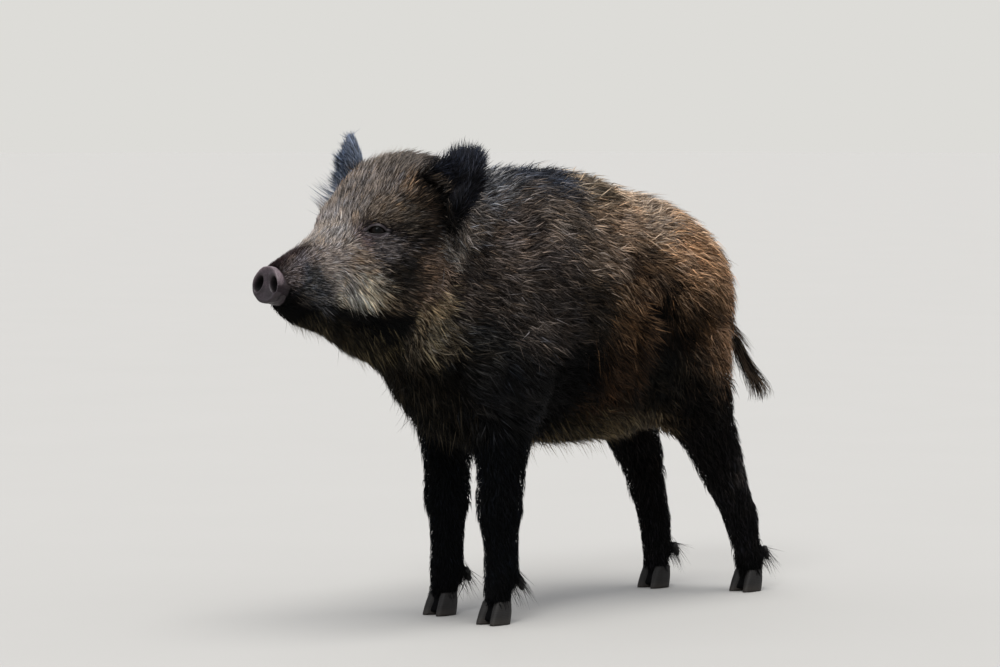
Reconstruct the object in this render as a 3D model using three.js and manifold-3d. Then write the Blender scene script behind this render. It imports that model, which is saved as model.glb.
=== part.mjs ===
// A yearling wild boar as a life-size still model, in millimetres.
// It stands on a level floor at z = 0, with +Z up, its snout towards -Y and its left side towards +X.
// The flesh and coat are one soft blend of named masses, meshed on a grid and parted with thin cuts.
import * as THREE from "three";
import { mergeVertices } from "three/addons/utils/BufferGeometryUtils.js";
import Module from "manifold-3d";

const wasm = await Module();
wasm.setup();

// Driving dimensions, over the coat.
const withers = 612; // height of the shoulder crest above the floor
const hips = 557; // height of the croup
const bellyFloor = 230; // height of the lowest belly hair
const crown = 637; // height of the head between the ears
const discHeight = 473; // height of the snout disc's centre
const discFront = -453; // y of the snout disc's face
const discRadius = 27.5;
const rumpRear = 420; // y of the buttocks
const elbow = 300; // height where a foreleg leaves the trunk
const stifle = 340; // height where a hind leg leaves the trunk
const knee = 160; // height of the parting at the knee
const hock = 205; // height of the parting at the hock
const hoofTop = 32; // height of the coronet, where hoof meets foot
const footSpread = 64; // half the distance between the feet of a pair
const legSpread = 70; // half the distance between the tops of a pair of legs
const legInside = 27; // x of the parting between a leg and the trunk
const eyeRadius = 12.5;
const eyeSpread = 49; // x of an eye's middle
const gap = 0.35; // between neighbouring solids
const clearance = 1.8; // around the flesh, for the pieces set into it

// ---- Soft field: every mass is a signed distance, negative inside, blended with its neighbours. ----

// An ellipsoid at a centre, with a half size along each axis.
function egg([cx, cy, cz], [rx, ry, rz]) {
  return (x, y, z) => {
    const a = (x - cx) / rx;
    const b = (y - cy) / ry;
    const c = (z - cz) / rz;
    const level = Math.hypot(a, b, c);
    const slope = Math.hypot(a / rx, b / ry, c / rz);
    return slope > 0 ? (level * (level - 1)) / slope : -Math.min(rx, ry, rz);
  };
}

// A rod that tapers from one ball to another. Its width across X is the given share of its depth.
function limb(from, to, radiusFrom, radiusTo, width = 1) {
  const axis = to.map((v, i) => v - from[i]);
  const lengthSq = axis.reduce((sum, v) => sum + v * v, 0);
  return (x, y, z) => {
    const rel = [x - from[0], y - from[1], z - from[2]];
    const along = rel.reduce((sum, v, i) => sum + v * axis[i], 0) / lengthSq;
    const t = Math.min(1, Math.max(0, along));
    const off = rel.map((v, i) => v - axis[i] * t);
    off[0] /= width;
    return Math.hypot(...off) - radiusFrom - (radiusTo - radiusFrom) * t;
  };
}

// Joins distances with a fillet of about the given size.
function blend(size, ...fields) {
  return (x, y, z) => {
    let nearest = fields[0](x, y, z);
    for (let i = 1; i < fields.length; i++) {
      const other = fields[i](x, y, z);
      const h = Math.max(size - Math.abs(nearest - other), 0) / size;
      nearest = Math.min(nearest, other) - (h * h * size) / 4;
    }
    return nearest;
  };
}

const both = (make) => [make(1), make(-1)];

// Takes a mass out of a field, with a rounded lip of about the given size.
function carve(size, field, ...pits) {
  return pits.reduce((left, pit) => {
    const outside = blend(size, (...p) => -left(...p), pit);
    return (...p) => -outside(...p);
  }, field);
}

// ---- The trunk: rib cage, belly, croup, breast, shoulder and thigh masses, and the mane along the spine. ----

const ribs = egg([0, 58, 418], [112, 180, withers - 422]);
const belly = egg([0, 212, 396], [112, 165, 396 - bellyFloor]);
const loin = egg([0, 205, 462], [98, 170, 116]);
const croup = egg([0, 304, hips - 130], [102, rumpRear - 304, 130]);
const breast = egg([0, -92, 366], [84, 102, 122]);
const mane = limb([0, 10, withers - 54], [0, 140, withers - 62], 54, 58, 0.9);
const shoulders = both((side) => limb([62 * side, 20, 490], [72 * side, -52, 350], 66, 60, 0.78));
const thighs = both((side) => limb([62 * side, 310, 430], [70 * side, 300, 332], 84, 74, 0.7));
const torso = blend(60, ribs, belly, loin, croup, breast, ...shoulders, ...thighs, mane);

// ---- The neck and head, held nose-high. ----

const neck = limb([0, -20, 491], [0, -190, 526], 116, 100, 0.86);
const throat = limb([0, -74, 396], [0, -226, 444], 108, 84, 0.8);
const cranium = egg([0, -204, crown - 82], [80, 84, 82]);
const poll = egg([0, -138, crown - 69], [58, 66, 70]);
const forehead = limb([-18, -275, 543], [18, -275, 543], 39, 39);
const muzzle = limb([0, -280, 500], [0, discFront + 30, discHeight + 2], 64, 28, 1.04);
const jaw = limb([0, -240, 444], [0, discFront + 58, discHeight - 32], 76, 25, 0.84);
const cheeks = both((side) => egg([42 * side, -244, 486], [46, 68, 76]));
const discTilt = 0.16; // the disc's face looks a little upwards, as a slope
const discAt = (depth) => [0, discFront + 5 + depth, discHeight - discTilt * depth];
const disc = limb(discAt(0), discAt(22), discRadius, discRadius - 2);
const nostrils = both((side) => {
  const [x, y, z] = [15.5 * side, discFront - 6, discHeight + 1];
  return limb([x, y, z], [x - 4 * side, y + 20, z - 1], 9, 5, 0.8);
});
const discFace = (x, y, z) => discFront + discTilt * (z - discHeight + discRadius) - y;
const snout = (x, y, z) => Math.max(disc(x, y, z), discFace(x, y, z));
const eyeAt = (side) => [eyeSpread * side, -290, 539];
const head = blend(32, cranium, poll, forehead, muzzle, jaw, ...cheeks);

// ---- The legs: a chain of limbs from elbow or stifle to the foot, as [y, z] joints. ----

const legs = {
  foreleg_left: { side: 1, radii: [52, 33, 24, 24], joints: [[-62, 330], [-74, 168], [-66, 78], [-74, 40]] },
  foreleg_right: { side: -1, radii: [52, 33, 24, 24], joints: [[-30, 330], [-36, 168], [-36, 78], [-46, 40]] },
  hindleg_left: { side: 1, radii: [66, 37, 26, 24], joints: [[308, 330], [384, 202], [443, 104], [461, 40]] },
  hindleg_right: { side: -1, radii: [66, 35, 24, 23], joints: [[298, 330], [371, 198], [404, 95], [405, 40]] },
};

function legField({ side, radii, joints }) {
  const points = joints.map(([y, z]) => {
    const fall = (joints[0][1] - z) / joints[0][1];
    return [side * THREE.MathUtils.lerp(legSpread, footSpread, fall), y, z];
  });
  return blend(14, ...points.slice(1).map((to, i) => limb(points[i], to, radii[i], radii[i + 1], 0.92)));
}

const body = blend(40, torso, neck, throat, head, ...Object.values(legs).map(legField));

// ---- Meshing: surface nets on a grid, with each vertex then pulled onto the zero level. ----

function gradient(field, x, y, z) {
  const e = 0.5;
  return [
    field(x + e, y, z) - field(x - e, y, z),
    field(x, y + e, z) - field(x, y - e, z),
    field(x, y, z + e) - field(x, y, z - e),
  ];
}

function pullToSurface(field, point) {
  let p = point;
  for (let step = 0; step < 4; step++) {
    const d = field(...p);
    const g = gradient(field, ...p);
    const length = Math.hypot(...g) || 1;
    p = p.map((v, i) => v - (d * g[i]) / length);
  }
  return p;
}

// Where the four corners of a grid square alternate between inside and outside, the surface would
// touch itself along an edge, so the shallower inside corner is counted as outside.
function clearTangles(value, n, at) {
  const squares = [[1, 0, 0, 0, 1, 0], [0, 1, 0, 0, 0, 1], [0, 0, 1, 1, 0, 0]];
  for (let changed = true; changed; ) {
    changed = false;
    for (let k = 0; k < n[2] - 1; k++)
      for (let j = 0; j < n[1] - 1; j++)
        for (let i = 0; i < n[0] - 1; i++)
          for (const [a, b, c, d, e, f] of squares) {
            const ring = [
              at(i, j, k),
              at(i + a, j + b, k + c),
              at(i + a + d, j + b + e, k + c + f),
              at(i + d, j + e, k + f),
            ];
            const inside = ring.filter((corner) => value[corner] < 0);
            const crossed = inside.length === 2 && ring.indexOf(inside[1]) - ring.indexOf(inside[0]) === 2;
            if (!crossed) continue;
            value[value[inside[0]] > value[inside[1]] ? inside[0] : inside[1]] = 1e-6;
            changed = true;
          }
  }
}

// A closed THREE geometry of the field's inside, within a box, on cells of the given size.
function meshField(field, box, cell) {
  const n = [0, 1, 2].map((i) => Math.ceil((box.max.getComponent(i) - box.min.getComponent(i)) / cell) + 1);
  const at = (i, j, k) => (k * n[1] + j) * n[0] + i;
  const place = (i, j, k) => [box.min.x + i * cell, box.min.y + j * cell, box.min.z + k * cell];
  const value = new Float64Array(n[0] * n[1] * n[2]).fill(1);
  for (let k = 1; k < n[2] - 1; k++)
    for (let j = 1; j < n[1] - 1; j++)
      for (let i = 1; i < n[0] - 1; i++) value[at(i, j, k)] = field(...place(i, j, k)) || 1e-6;

  clearTangles(value, n, at);

  const corners = [0, 1, 2, 3, 4, 5, 6, 7].map((c) => [c & 1, (c >> 1) & 1, c >> 2]);
  const vertexOf = new Map();
  const positions = [];
  for (let k = 0; k < n[2] - 1; k++)
    for (let j = 0; j < n[1] - 1; j++)
      for (let i = 0; i < n[0] - 1; i++) {
        const values = corners.map(([a, b, c]) => value[at(i + a, j + b, k + c)]);
        const sum = [0, 0, 0];
        let crossings = 0;
        for (let c = 0; c < 8; c++)
          for (const bit of [1, 2, 4]) {
            const d = c | bit;
            if (c === d || values[c] < 0 === values[d] < 0) continue;
            const t = values[c] / (values[c] - values[d]);
            corners[c].forEach((v, axis) => (sum[axis] += v + (corners[d][axis] - v) * t));
            crossings++;
          }
        if (!crossings) continue;
        vertexOf.set(at(i, j, k), positions.length / 3);
        const [x, y, z] = place(i, j, k);
        const inner = i > 0 && j > 0 && k > 0 && i < n[0] - 2 && j < n[1] - 2 && k < n[2] - 2;
        const raw = [x, y, z].map((v, axis) => v + (sum[axis] / crossings) * cell);
        positions.push(...(inner ? pullToSurface(field, raw) : raw));
      }

  const index = [];
  const steps = [[1, 0, 0], [0, 1, 0], [0, 0, 1]];
  for (let k = 0; k < n[2] - 1; k++)
    for (let j = 0; j < n[1] - 1; j++)
      for (let i = 0; i < n[0] - 1; i++)
        steps.forEach(([a, b, c], axis) => {
          const here = value[at(i, j, k)];
          const next = value[at(i + a, j + b, k + c)];
          if (here < 0 === next < 0) return;
          const [u, v] = [steps[(axis + 1) % 3], steps[(axis + 2) % 3]];
          const ring = [[0, 0], [1, 0], [1, 1], [0, 1]].map(([s, t]) =>
            vertexOf.get(at(i - s * u[0] - t * v[0], j - s * u[1] - t * v[1], k - s * u[2] - t * v[2])),
          );
          if (here > 0) ring.reverse();
          index.push(ring[0], ring[1], ring[2], ring[0], ring[2], ring[3]);
        });
  const geometry = new THREE.BufferGeometry();
  geometry.setAttribute("position", new THREE.Float32BufferAttribute(positions, 3));
  geometry.setIndex(index);
  return geometry;
}

// ---- Solids: from THREE geometry to manifold-3d and back. ----

function solid(geometry) {
  const bare = geometry.clone();
  bare.deleteAttribute("normal");
  bare.deleteAttribute("uv");
  const merged = mergeVertices(bare, 1e-3);
  return new wasm.Manifold(
    new wasm.Mesh({
      numProp: 3,
      vertProperties: merged.attributes.position.array,
      triVerts: new Uint32Array(merged.index.array),
    }),
  );
}

function toGeometry(manifold) {
  const { vertProperties, triVerts } = manifold.getMesh();
  const geometry = new THREE.BufferGeometry();
  geometry.setAttribute("position", new THREE.BufferAttribute(vertProperties, 3));
  geometry.setIndex(new THREE.BufferAttribute(triVerts, 1));
  geometry.computeVertexNormals();
  return geometry;
}

const box = (x0, y0, z0, x1, y1, z1) =>
  new THREE.Box3(new THREE.Vector3(x0, y0, z0), new THREE.Vector3(x1, y1, z1));

const fieldSolid = (field, region, cell) =>
  solid(meshField(field, region.clone().expandByScalar(3 * cell), cell));

function block(region) {
  const size = region.getSize(new THREE.Vector3());
  const centre = region.getCenter(new THREE.Vector3());
  return solid(new THREE.BoxGeometry(size.x, size.y, size.z).translate(centre.x, centre.y, centre.z));
}

// Everything beyond a plane that is square to YZ: through [y, z] and facing along [ny, nz].
// It is set back by half the gap.
function beyond([y, z], [ny, nz]) {
  const reach = 1000;
  return solid(
    new THREE.BoxGeometry(2 * reach, 2 * reach, 2 * reach)
      .translate(0, reach + gap / 2, 0)
      .applyMatrix4(new THREE.Matrix4().makeRotationX(Math.atan2(nz, ny)))
      .translate(0, y, z),
  );
}

// ---- Thin pieces: ears as cupped leaves, hooves and dewclaws as stacked rings. ----

// A closed solid through rings of points, all of the same count, from the first ring to the last.
function stack(rings) {
  const count = rings[0].length;
  const positions = rings.flat().flatMap((p) => p);
  const index = [];
  for (let r = 0; r + 1 < rings.length; r++)
    for (let i = 0; i < count; i++) {
      const [a, b] = [r * count + i, r * count + ((i + 1) % count)];
      index.push(a, b, b + count, a, b + count, a + count);
    }
  const last = (rings.length - 1) * count;
  for (let i = 1; i + 1 < count; i++) index.push(0, i + 1, i, last, last + i, last + i + 1);
  const geometry = new THREE.BufferGeometry();
  geometry.setAttribute("position", new THREE.Float32BufferAttribute(positions, 3));
  geometry.setIndex(index);
  return solid(geometry);
}

const ear = {
  line: [[70, -186, 543], [100, -228, 606], [119, -172, 662]], // base, bend and tip of the middle
  across: [0.9, 0.38, -0.2], // from the inner margin to the outer
  halfWidth: 44,
  cup: 22, // how far the middle lies behind the margins
  thickness: 15, // with the fur on both faces
  rows: 9,
  columns: 5,
};

// The ear's width at a share of its length: widest a little below the middle, with a rounded point.
function earShare(s) {
  const widest = 0.45;
  if (s < widest) return 0.62 + 0.38 * Math.sin((Math.PI / 2) * (s / widest));
  return Math.cos((Math.PI / 2) * ((s - widest) / (1.01 - widest))) ** 0.8;
}

function earSolid(side) {
  const middle = new THREE.QuadraticBezierCurve3(...ear.line.map((p) => new THREE.Vector3(...p)));
  const along = middle.getPoint(1).sub(middle.getPoint(0)).normalize();
  const across = new THREE.Vector3(...ear.across).projectOnPlane(along).normalize();
  const back = along.clone().cross(across).normalize();
  const rings = [];
  for (let row = 0; row <= ear.rows; row++) {
    const s = row / ear.rows;
    const share = earShare(s);
    const edge = (w, face) => {
      const half = (Math.sqrt(1 - w * w) * ear.thickness * (1 - 0.6 * s)) / 2;
      const fold = ear.cup * (1 - w * w) * share + face * half;
      return middle.getPoint(s).addScaledVector(across, ear.halfWidth * share * w).addScaledVector(back, fold);
    };
    const ring = [];
    for (let i = 0; i <= ear.columns; i++) ring.push(edge(-Math.cos((Math.PI * i) / ear.columns), 1));
    for (let i = ear.columns - 1; i > 0; i--) ring.push(edge(-Math.cos((Math.PI * i) / ear.columns), -1));
    rings.push(ring.map((p) => [p.x * side, p.y, p.z]));
  }
  return stack(side < 0 ? rings : rings.map((ring) => ring.reverse()));
}

const hoof = { halfWidth: 9.8, length: 40, topLength: 33, slope: 9, sides: 10, levels: [0, 1] };

// One toe's hoof under the foot at [x, y]; the front wall slopes back as it rises.
function hoofSolid(x, y) {
  return stack(
    hoof.levels.map((level) => {
      const half = THREE.MathUtils.lerp(hoof.length, hoof.topLength, level) / 2;
      const width = hoof.halfWidth * (1 - 0.12 * level);
      return Array.from({ length: hoof.sides }, (_, i) => {
        const turn = (2 * Math.PI * (i + 0.5)) / hoof.sides;
        const [c, s] = [Math.cos(turn), Math.sin(turn)];
        const square = 0.75; // rounds the toe less than an ellipse
        return [
          x + width * Math.sign(c) * Math.abs(c) ** square,
          y + hoof.slope * (level - 0.5) + half * Math.sign(s) * Math.abs(s) ** square,
          level * (hoofTop - gap),
        ];
      });
    }),
  );
}

const dewclaw = { length: 22, radius: 7.5, sides: 7, rise: 32 };

// A blunt cone behind the pastern at [x, y, z], pointing down and back.
function dewclawSolid(x, y, z) {
  const tilt = THREE.MathUtils.degToRad(dewclaw.rise);
  return stack(
    [0, 0.5, 1].map((t) => {
      const radius = dewclaw.radius * (0.45 + 0.55 * Math.sqrt(t));
      const reach = (1 - t) * dewclaw.length;
      const centre = [y + reach * Math.sin(tilt), z - reach * Math.cos(tilt)];
      return Array.from({ length: dewclaw.sides }, (_, i) => {
        const turn = (2 * Math.PI * i) / dewclaw.sides;
        return [
          x + radius * Math.cos(turn),
          centre[0] + radius * Math.sin(turn) * Math.cos(tilt),
          centre[1] + radius * Math.sin(turn) * Math.sin(tilt),
        ];
      });
    }),
  );
}

// ---- The tail: a thin dock with a brush of hair, swung a little to the left. ----

const tailLine = [[4, 394, 436], [22, 430, 412], [38, 448, 374], [50, 464, 336], [64, 492, 286]];
const tailRadii = [14, 11, 10, 12, 5];
const brushTop = 366; // height where the brush begins

function tailSolid(rings = 13, sides = 9) {
  const middle = new THREE.CatmullRomCurve3(tailLine.map((p) => new THREE.Vector3(...p)));
  const sideways = new THREE.Vector3(1, 0, 0);
  const spans = tailRadii.length - 1;
  return stack(
    Array.from({ length: rings }, (_, r) => {
      const t = r / (rings - 1);
      const k = Math.min(Math.floor(t * spans), spans - 1);
      const share = THREE.MathUtils.smoothstep(t * spans - k, 0, 1);
      const radius = THREE.MathUtils.lerp(tailRadii[k], tailRadii[k + 1], share);
      const normal = middle.getTangent(t).cross(sideways).normalize();
      const binormal = normal.clone().cross(middle.getTangent(t)).normalize();
      return Array.from({ length: sides }, (_, i) => {
        const turn = (-2 * Math.PI * i) / sides;
        const out = normal.clone().multiplyScalar(Math.cos(turn)).addScaledVector(binormal, Math.sin(turn));
        return middle.getPoint(t).addScaledVector(out, radius).toArray();
      });
    }),
  );
}

// ---- The partings. ----

const napeCut = [[-165, 640], [-0.972, 0.234]]; // head from neck, behind the ears and jaw
const shoulderCut = [[-50, 620], [-0.93, 0.369]]; // neck from trunk
const mouthCut = [[discFront + 24, 450], [-0.1, -0.995]]; // lower jaw from head, along the lips
const jawBack = [[-306, 450], [-1, 0]];
const flip = ([point, [ny, nz]]) => [point, [-ny, -nz]];

const colours = {
  face: 0x7a6a58,
  back: 0x4b3728,
  limb: 0x1f1b19,
  snout: 0x6f666b,
  horn: 0x2b2725,
  eye: 0x120d0a,
};
const finishes = Object.fromEntries(
  Object.entries(colours).map(([name, color]) => {
    const roughness = { eye: 0.08, horn: 0.5, snout: 0.45 }[name] ?? 0.85;
    return [name, new THREE.MeshStandardMaterial({ name, color, roughness, metalness: 0 })];
  }),
);

const model = new THREE.Group();

function addNode(name, manifold, finish) {
  const mesh = new THREE.Mesh(toGeometry(manifold), finishes[finish]);
  mesh.name = name;
  model.add(mesh);
}

// The meshed body within a box, and the same grown by the clearance.
const flesh = (region, cell) => fieldSolid(body, region, cell);
const grownFlesh = (region, cell) => fieldSolid((...p) => body(...p) - clearance, region, cell);

// ---- The head, with its lower jaw, snout disc, eyes and ears. ----

const eyeBall = (side, radius) => {
  const [x, y, z] = eyeAt(side);
  return solid(new THREE.SphereGeometry(radius, 12, 8).translate(x, y, z));
};

// The lids' opening, a shallow almond in front of each eye.
const eyePit = (side) => {
  const halfSize = [12, 17, 10];
  const [x, y, z] = eyeAt(side);
  const almond = new THREE.SphereGeometry(1, 10, 6).scale(...halfSize).rotateX(-0.2).rotateZ(-0.35 * side);
  return solid(almond.translate(x + 9 * side, y - 4, z));
};

const discCut = [discAt(16).slice(1), [-1, -discTilt]];
const discRegion = box(-28, discFront - 4, discHeight - 30, 28, discFront + 24, discHeight + 30);
const headWhole = flesh(box(-100, discFront, 350, 100, -130, 640), 19)
  .intersect(beyond(...napeCut))
  .subtract(beyond(...discCut));
const jawClear = beyond(...flip(mouthCut)).add(beyond(...flip(jawBack)));
addNode("lower_jaw", headWhole.intersect(beyond(...mouthCut)).intersect(beyond(...jawBack)), "face");
let skull = headWhole.intersect(jawClear);
for (const side of [1, -1]) skull = skull.subtract(eyePit(side)).subtract(eyeBall(side, eyeRadius + gap));
addNode("head", skull, "face");
const discWhole = fieldSolid(carve(3, snout, ...nostrils), discRegion, 7);
addNode("snout_disc", discWhole.intersect(beyond([discCut[0][0] - gap, discCut[0][1]], discCut[1])), "snout");
const earRoots = grownFlesh(box(-110, -260, 500, 110, -130, 620), 11);
for (const [name, side] of [["left", 1], ["right", -1]]) {
  addNode("eye_" + name, eyeBall(side, eyeRadius), "eye");
  addNode("ear_" + name, earSolid(side).subtract(earRoots), "limb");
}

// ---- The neck, trunk and legs. ----

const neckWhole = flesh(box(-130, -300, 240, 130, 60, 650), 30);
addNode("neck", neckWhole.intersect(beyond(...flip(napeCut))).intersect(beyond(...shoulderCut)), "back");

// Each leg is the part of the body inside its own block, and the trunk is what the blocks leave.
const legBlock = (side, y0, y1, top, spare = 0) => {
  const [near, far] = [legInside - spare, 200];
  return block(box(side > 0 ? near : -far, y0 - spare, -50, side > 0 ? far : -near, y1 + spare, top + spare));
};
const legSpans = { fore: [-165, 42, elbow, knee], hind: [232, 540, stifle, hock] };
const clawHeight = 62;
let trunk = flesh(box(-130, -200, 170, 130, 440, 640), 35.5)
  .intersect(beyond(...flip(shoulderCut)))
  .intersect(beyond([0, bellyFloor - 40], [0, 1]));
for (const [name, leg] of Object.entries(legs)) {
  const [y0, y1, top, joint] = legSpans[name.slice(0, 4)];
  trunk = trunk.subtract(legBlock(leg.side, y0, y1, top, gap));
  const x0 = leg.side > 0 ? 10 : -140;
  const shaft = flesh(box(x0, y0 - 10, 0, x0 + 130, y1 + 10, top + 20), 21);
  const whole = shaft.intersect(legBlock(leg.side, y0, y1, top)).intersect(beyond([0, hoofTop], [0, 1]));
  addNode(name + "_upper", whole.intersect(beyond([0, joint], [0, 1])), "limb");
  addNode(name + "_lower", whole.intersect(beyond([0, joint], [0, -1])), "limb");

  const [[ankleY, ankleZ], [footY, footZ]] = leg.joints.slice(-2);
  const heel = THREE.MathUtils.mapLinear(clawHeight, ankleZ, footZ, ankleY, footY) + leg.radii[3];
  const foot = grownFlesh(box(x0, footY - 50, 20, x0 + 130, footY + 40, 90), 8);
  for (const [toe, out] of [["inner", -1], ["outer", 1]]) {
    const x = leg.side * (footSpread + out * (hoof.halfWidth + 0.8));
    addNode(`${name}_hoof_${toe}`, hoofSolid(x, footY - 4), "horn");
    const claw = dewclawSolid(leg.side * (footSpread + out * 11), heel, clawHeight);
    addNode(`${name}_dewclaw_${toe}`, claw.subtract(foot), "horn");
  }
}
addNode("trunk", trunk, "back");

const tail = tailSolid().subtract(grownFlesh(box(-60, 380, 380, 80, 450, 500), 13));
addNode("tail", tail.intersect(beyond([0, brushTop], [0, 1])), "limb");
addNode("tail_brush", tail.intersect(beyond([0, brushTop], [0, -1])), "limb");

// The origin is the middle of the bounding box, at floor level.
const extent = new THREE.Box3().setFromObject(model);
const middle = extent.getCenter(new THREE.Vector3());
model.position.set(-middle.x, -middle.y, -extent.min.z);

export default model;
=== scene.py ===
import math
import bmesh
import bpy
import numpy as np
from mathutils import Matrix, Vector
from mathutils.bvhtree import BVHTree


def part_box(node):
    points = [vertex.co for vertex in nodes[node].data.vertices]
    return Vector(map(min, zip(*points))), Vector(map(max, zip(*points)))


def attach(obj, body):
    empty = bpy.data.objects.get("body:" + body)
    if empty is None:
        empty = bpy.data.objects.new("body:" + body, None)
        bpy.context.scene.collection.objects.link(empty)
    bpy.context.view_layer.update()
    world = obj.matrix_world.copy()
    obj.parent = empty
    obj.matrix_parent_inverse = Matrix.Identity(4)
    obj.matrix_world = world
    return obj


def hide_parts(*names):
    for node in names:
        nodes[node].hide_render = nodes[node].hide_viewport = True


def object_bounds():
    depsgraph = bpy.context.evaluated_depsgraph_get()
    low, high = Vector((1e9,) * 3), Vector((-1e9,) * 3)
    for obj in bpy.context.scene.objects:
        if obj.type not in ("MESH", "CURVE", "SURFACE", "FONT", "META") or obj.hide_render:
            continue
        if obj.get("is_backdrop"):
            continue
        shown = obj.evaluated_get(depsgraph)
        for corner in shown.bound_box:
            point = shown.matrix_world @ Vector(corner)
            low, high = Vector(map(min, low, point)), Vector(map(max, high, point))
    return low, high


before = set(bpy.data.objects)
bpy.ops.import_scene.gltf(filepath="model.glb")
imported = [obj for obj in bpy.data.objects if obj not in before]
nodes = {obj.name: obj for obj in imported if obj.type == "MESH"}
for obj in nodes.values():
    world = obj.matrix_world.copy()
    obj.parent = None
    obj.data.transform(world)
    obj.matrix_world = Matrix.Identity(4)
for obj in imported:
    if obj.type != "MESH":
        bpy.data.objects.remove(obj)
cadLow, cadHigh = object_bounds()
mm = 0.001
dice = np.random.default_rng(41)


# node trees
def socketOf(sockets, key):  # by its number, or the one in use with that name
    if isinstance(key, int):
        return sockets[key]
    return next(s for s in sockets if key in (s.identifier, s.name) and s.enabled)


class Wire:  # one socket of a node tree, so that sums read as plain sums
    def __init__(self, bench, socket):
        self.bench, self.socket = bench, socket

    def sum(self, kind, *parts):
        return self.bench.add("ShaderNodeMath", {"operation": kind}, dict(enumerate(parts)))

    def __add__(self, other):
        return self.sum("ADD", self, other)

    def __radd__(self, other):
        return self.sum("ADD", other, self)

    def __rsub__(self, other):
        return self.sum("SUBTRACT", other, self)

    def __mul__(self, other):
        return self.sum("MULTIPLY", self, other)

    def __truediv__(self, other):
        return self.sum("DIVIDE", self, other)

    def kept(self):  # held between 0 and 1
        return self.bench.add("ShaderNodeClamp", {}, {"Value": self})

    def between(self, low, high):  # 0 below low, 1 above high, eased
        return self.bench.add("ShaderNodeMapRange", {"interpolation_type": "SMOOTHSTEP"},
                              {"Value": self, "From Min": low, "From Max": high})


class Bench:  # a node tree at work: the one given, or a new material's
    def __init__(self, name, tree=None):
        if tree is None:
            self.material = bpy.data.materials.new(name)
            self.material.use_nodes = True
            tree = self.material.node_tree
            tree.nodes.clear()
        self.tree = tree

    def add(self, kind, settings=None, sockets=None, out=0):
        node = self.tree.nodes.new(kind)
        for key, value in (settings or {}).items():
            setattr(node, key, value)
        for key, value in (sockets or {}).items():
            socket = socketOf(node.inputs, key)
            if isinstance(value, Wire):
                self.tree.links.new(value.socket, socket)
            else:
                socket.default_value = value
        return Wire(self, socketOf(node.outputs, out))

    def parts(self, vector):  # its x, y and z
        split = self.add("ShaderNodeSeparateXYZ", {}, {0: vector})
        return [Wire(self, socket) for socket in split.socket.node.outputs]

    def place(self):
        return self.add("ShaderNodeTexCoord", out=3)

    def tint(self):
        return self.add("ShaderNodeAttribute", {"attribute_name": "tint"})

    def level(self, name):
        return self.add("ShaderNodeAttribute", {"attribute_name": name}, out=2)

    def noise(self, scale, detail, rough=0.5, where=None):
        return self.add("ShaderNodeTexNoise", {}, {"Vector": where or self.place(), "Scale": scale,
                                                   "Detail": detail, "Roughness": rough})

    def cells(self, scale):
        return self.add("ShaderNodeTexVoronoi", {}, {"Vector": self.place(), "Scale": scale})

    def blend(self, factor, first, second, kind="MIX"):
        first = first if isinstance(first, Wire) else (*first, 1)
        second = second if isinstance(second, Wire) else (*second, 1)
        return self.add("ShaderNodeMix", {"data_type": "RGBA", "blend_type": kind},
                        {"Factor_Float": factor, "A_Color": first, "B_Color": second}, "Result_Color")

    def times(self, colour, factor):  # a colour made lighter or darker by a number
        grey = self.add("ShaderNodeCombineColor", {}, {0: factor, 1: factor, 2: factor})
        return self.blend(1.0, colour, grey, "MULTIPLY")

    def bump(self, height, strength, depth, under=None):
        sockets = {"Height": height, "Strength": strength, "Distance": depth}
        if under:
            sockets["Normal"] = under
        return self.add("ShaderNodeBump", {}, sockets)

    def finish(self, **sockets):
        names = {"colour": "Base Color", "rough": "Roughness", "normal": "Normal", "coat": "Coat Weight",
                 "coatRough": "Coat Roughness", "coatBend": "Coat IOR", "gloss": "Specular IOR Level"}
        named = {names[key]: value for key, value in sockets.items()}
        shader = self.add("ShaderNodeBsdfPrincipled", {}, named)
        out = self.tree.nodes.new("ShaderNodeOutputMaterial")
        self.tree.links.new(shader.socket, out.inputs["Surface"])
        return self.material


def tone(red, green, blue):  # a paint-chart tone, 0 to 255, as light
    part = np.array([red, green, blue]) / 255
    return tuple(float(v) for v in np.where(part <= 0.04045, part / 12.92, ((part + 0.055) / 1.055) ** 2.4))


def link(name, data):
    item = bpy.data.objects.new(name, data)
    bpy.context.collection.objects.link(item)
    return item


# camera, floor, light
stand = {"turn": 43.0, "rise": 3.3, "away": 6.0, "lens": 156.6, "aim": (0.0, -0.0219, 0.39)}
turn, rise = math.radians(stand["turn"]), math.radians(stand["rise"])
backward = Vector((math.sin(turn) * math.cos(rise), -math.cos(turn) * math.cos(rise), math.sin(rise)))
camera = link("camera", bpy.data.cameras.new("camera"))
camera.data.lens = stand["lens"]
camera.data.clip_end = 200
camera.location = Vector(stand["aim"]) + backward * stand["away"]
camera.rotation_euler = (-backward).to_track_quat("-Z", "Y").to_euler()
bpy.context.scene.camera = camera

lamps = {  # far, wide lights, so that the floor is lit evenly: power, place, width in degrees, tint
    "overhead": (2.4, (0.5, -0.35, 2.4), 40, (1, 0.985, 0.955)),
    "side": (1.0, (1.5, -2.6, 2.4), 14, (0.97, 0.985, 1)),
}
for name, (power, place, wide, tint) in lamps.items():
    lamp = link(name, bpy.data.lights.new(name, "SUN"))
    lamp.data.energy, lamp.data.color, lamp.data.angle = power, tint, math.radians(wide)
    lamp.location = place
    lamp.rotation_euler = (-Vector(place)).to_track_quat("-Z", "Y").to_euler()

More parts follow.
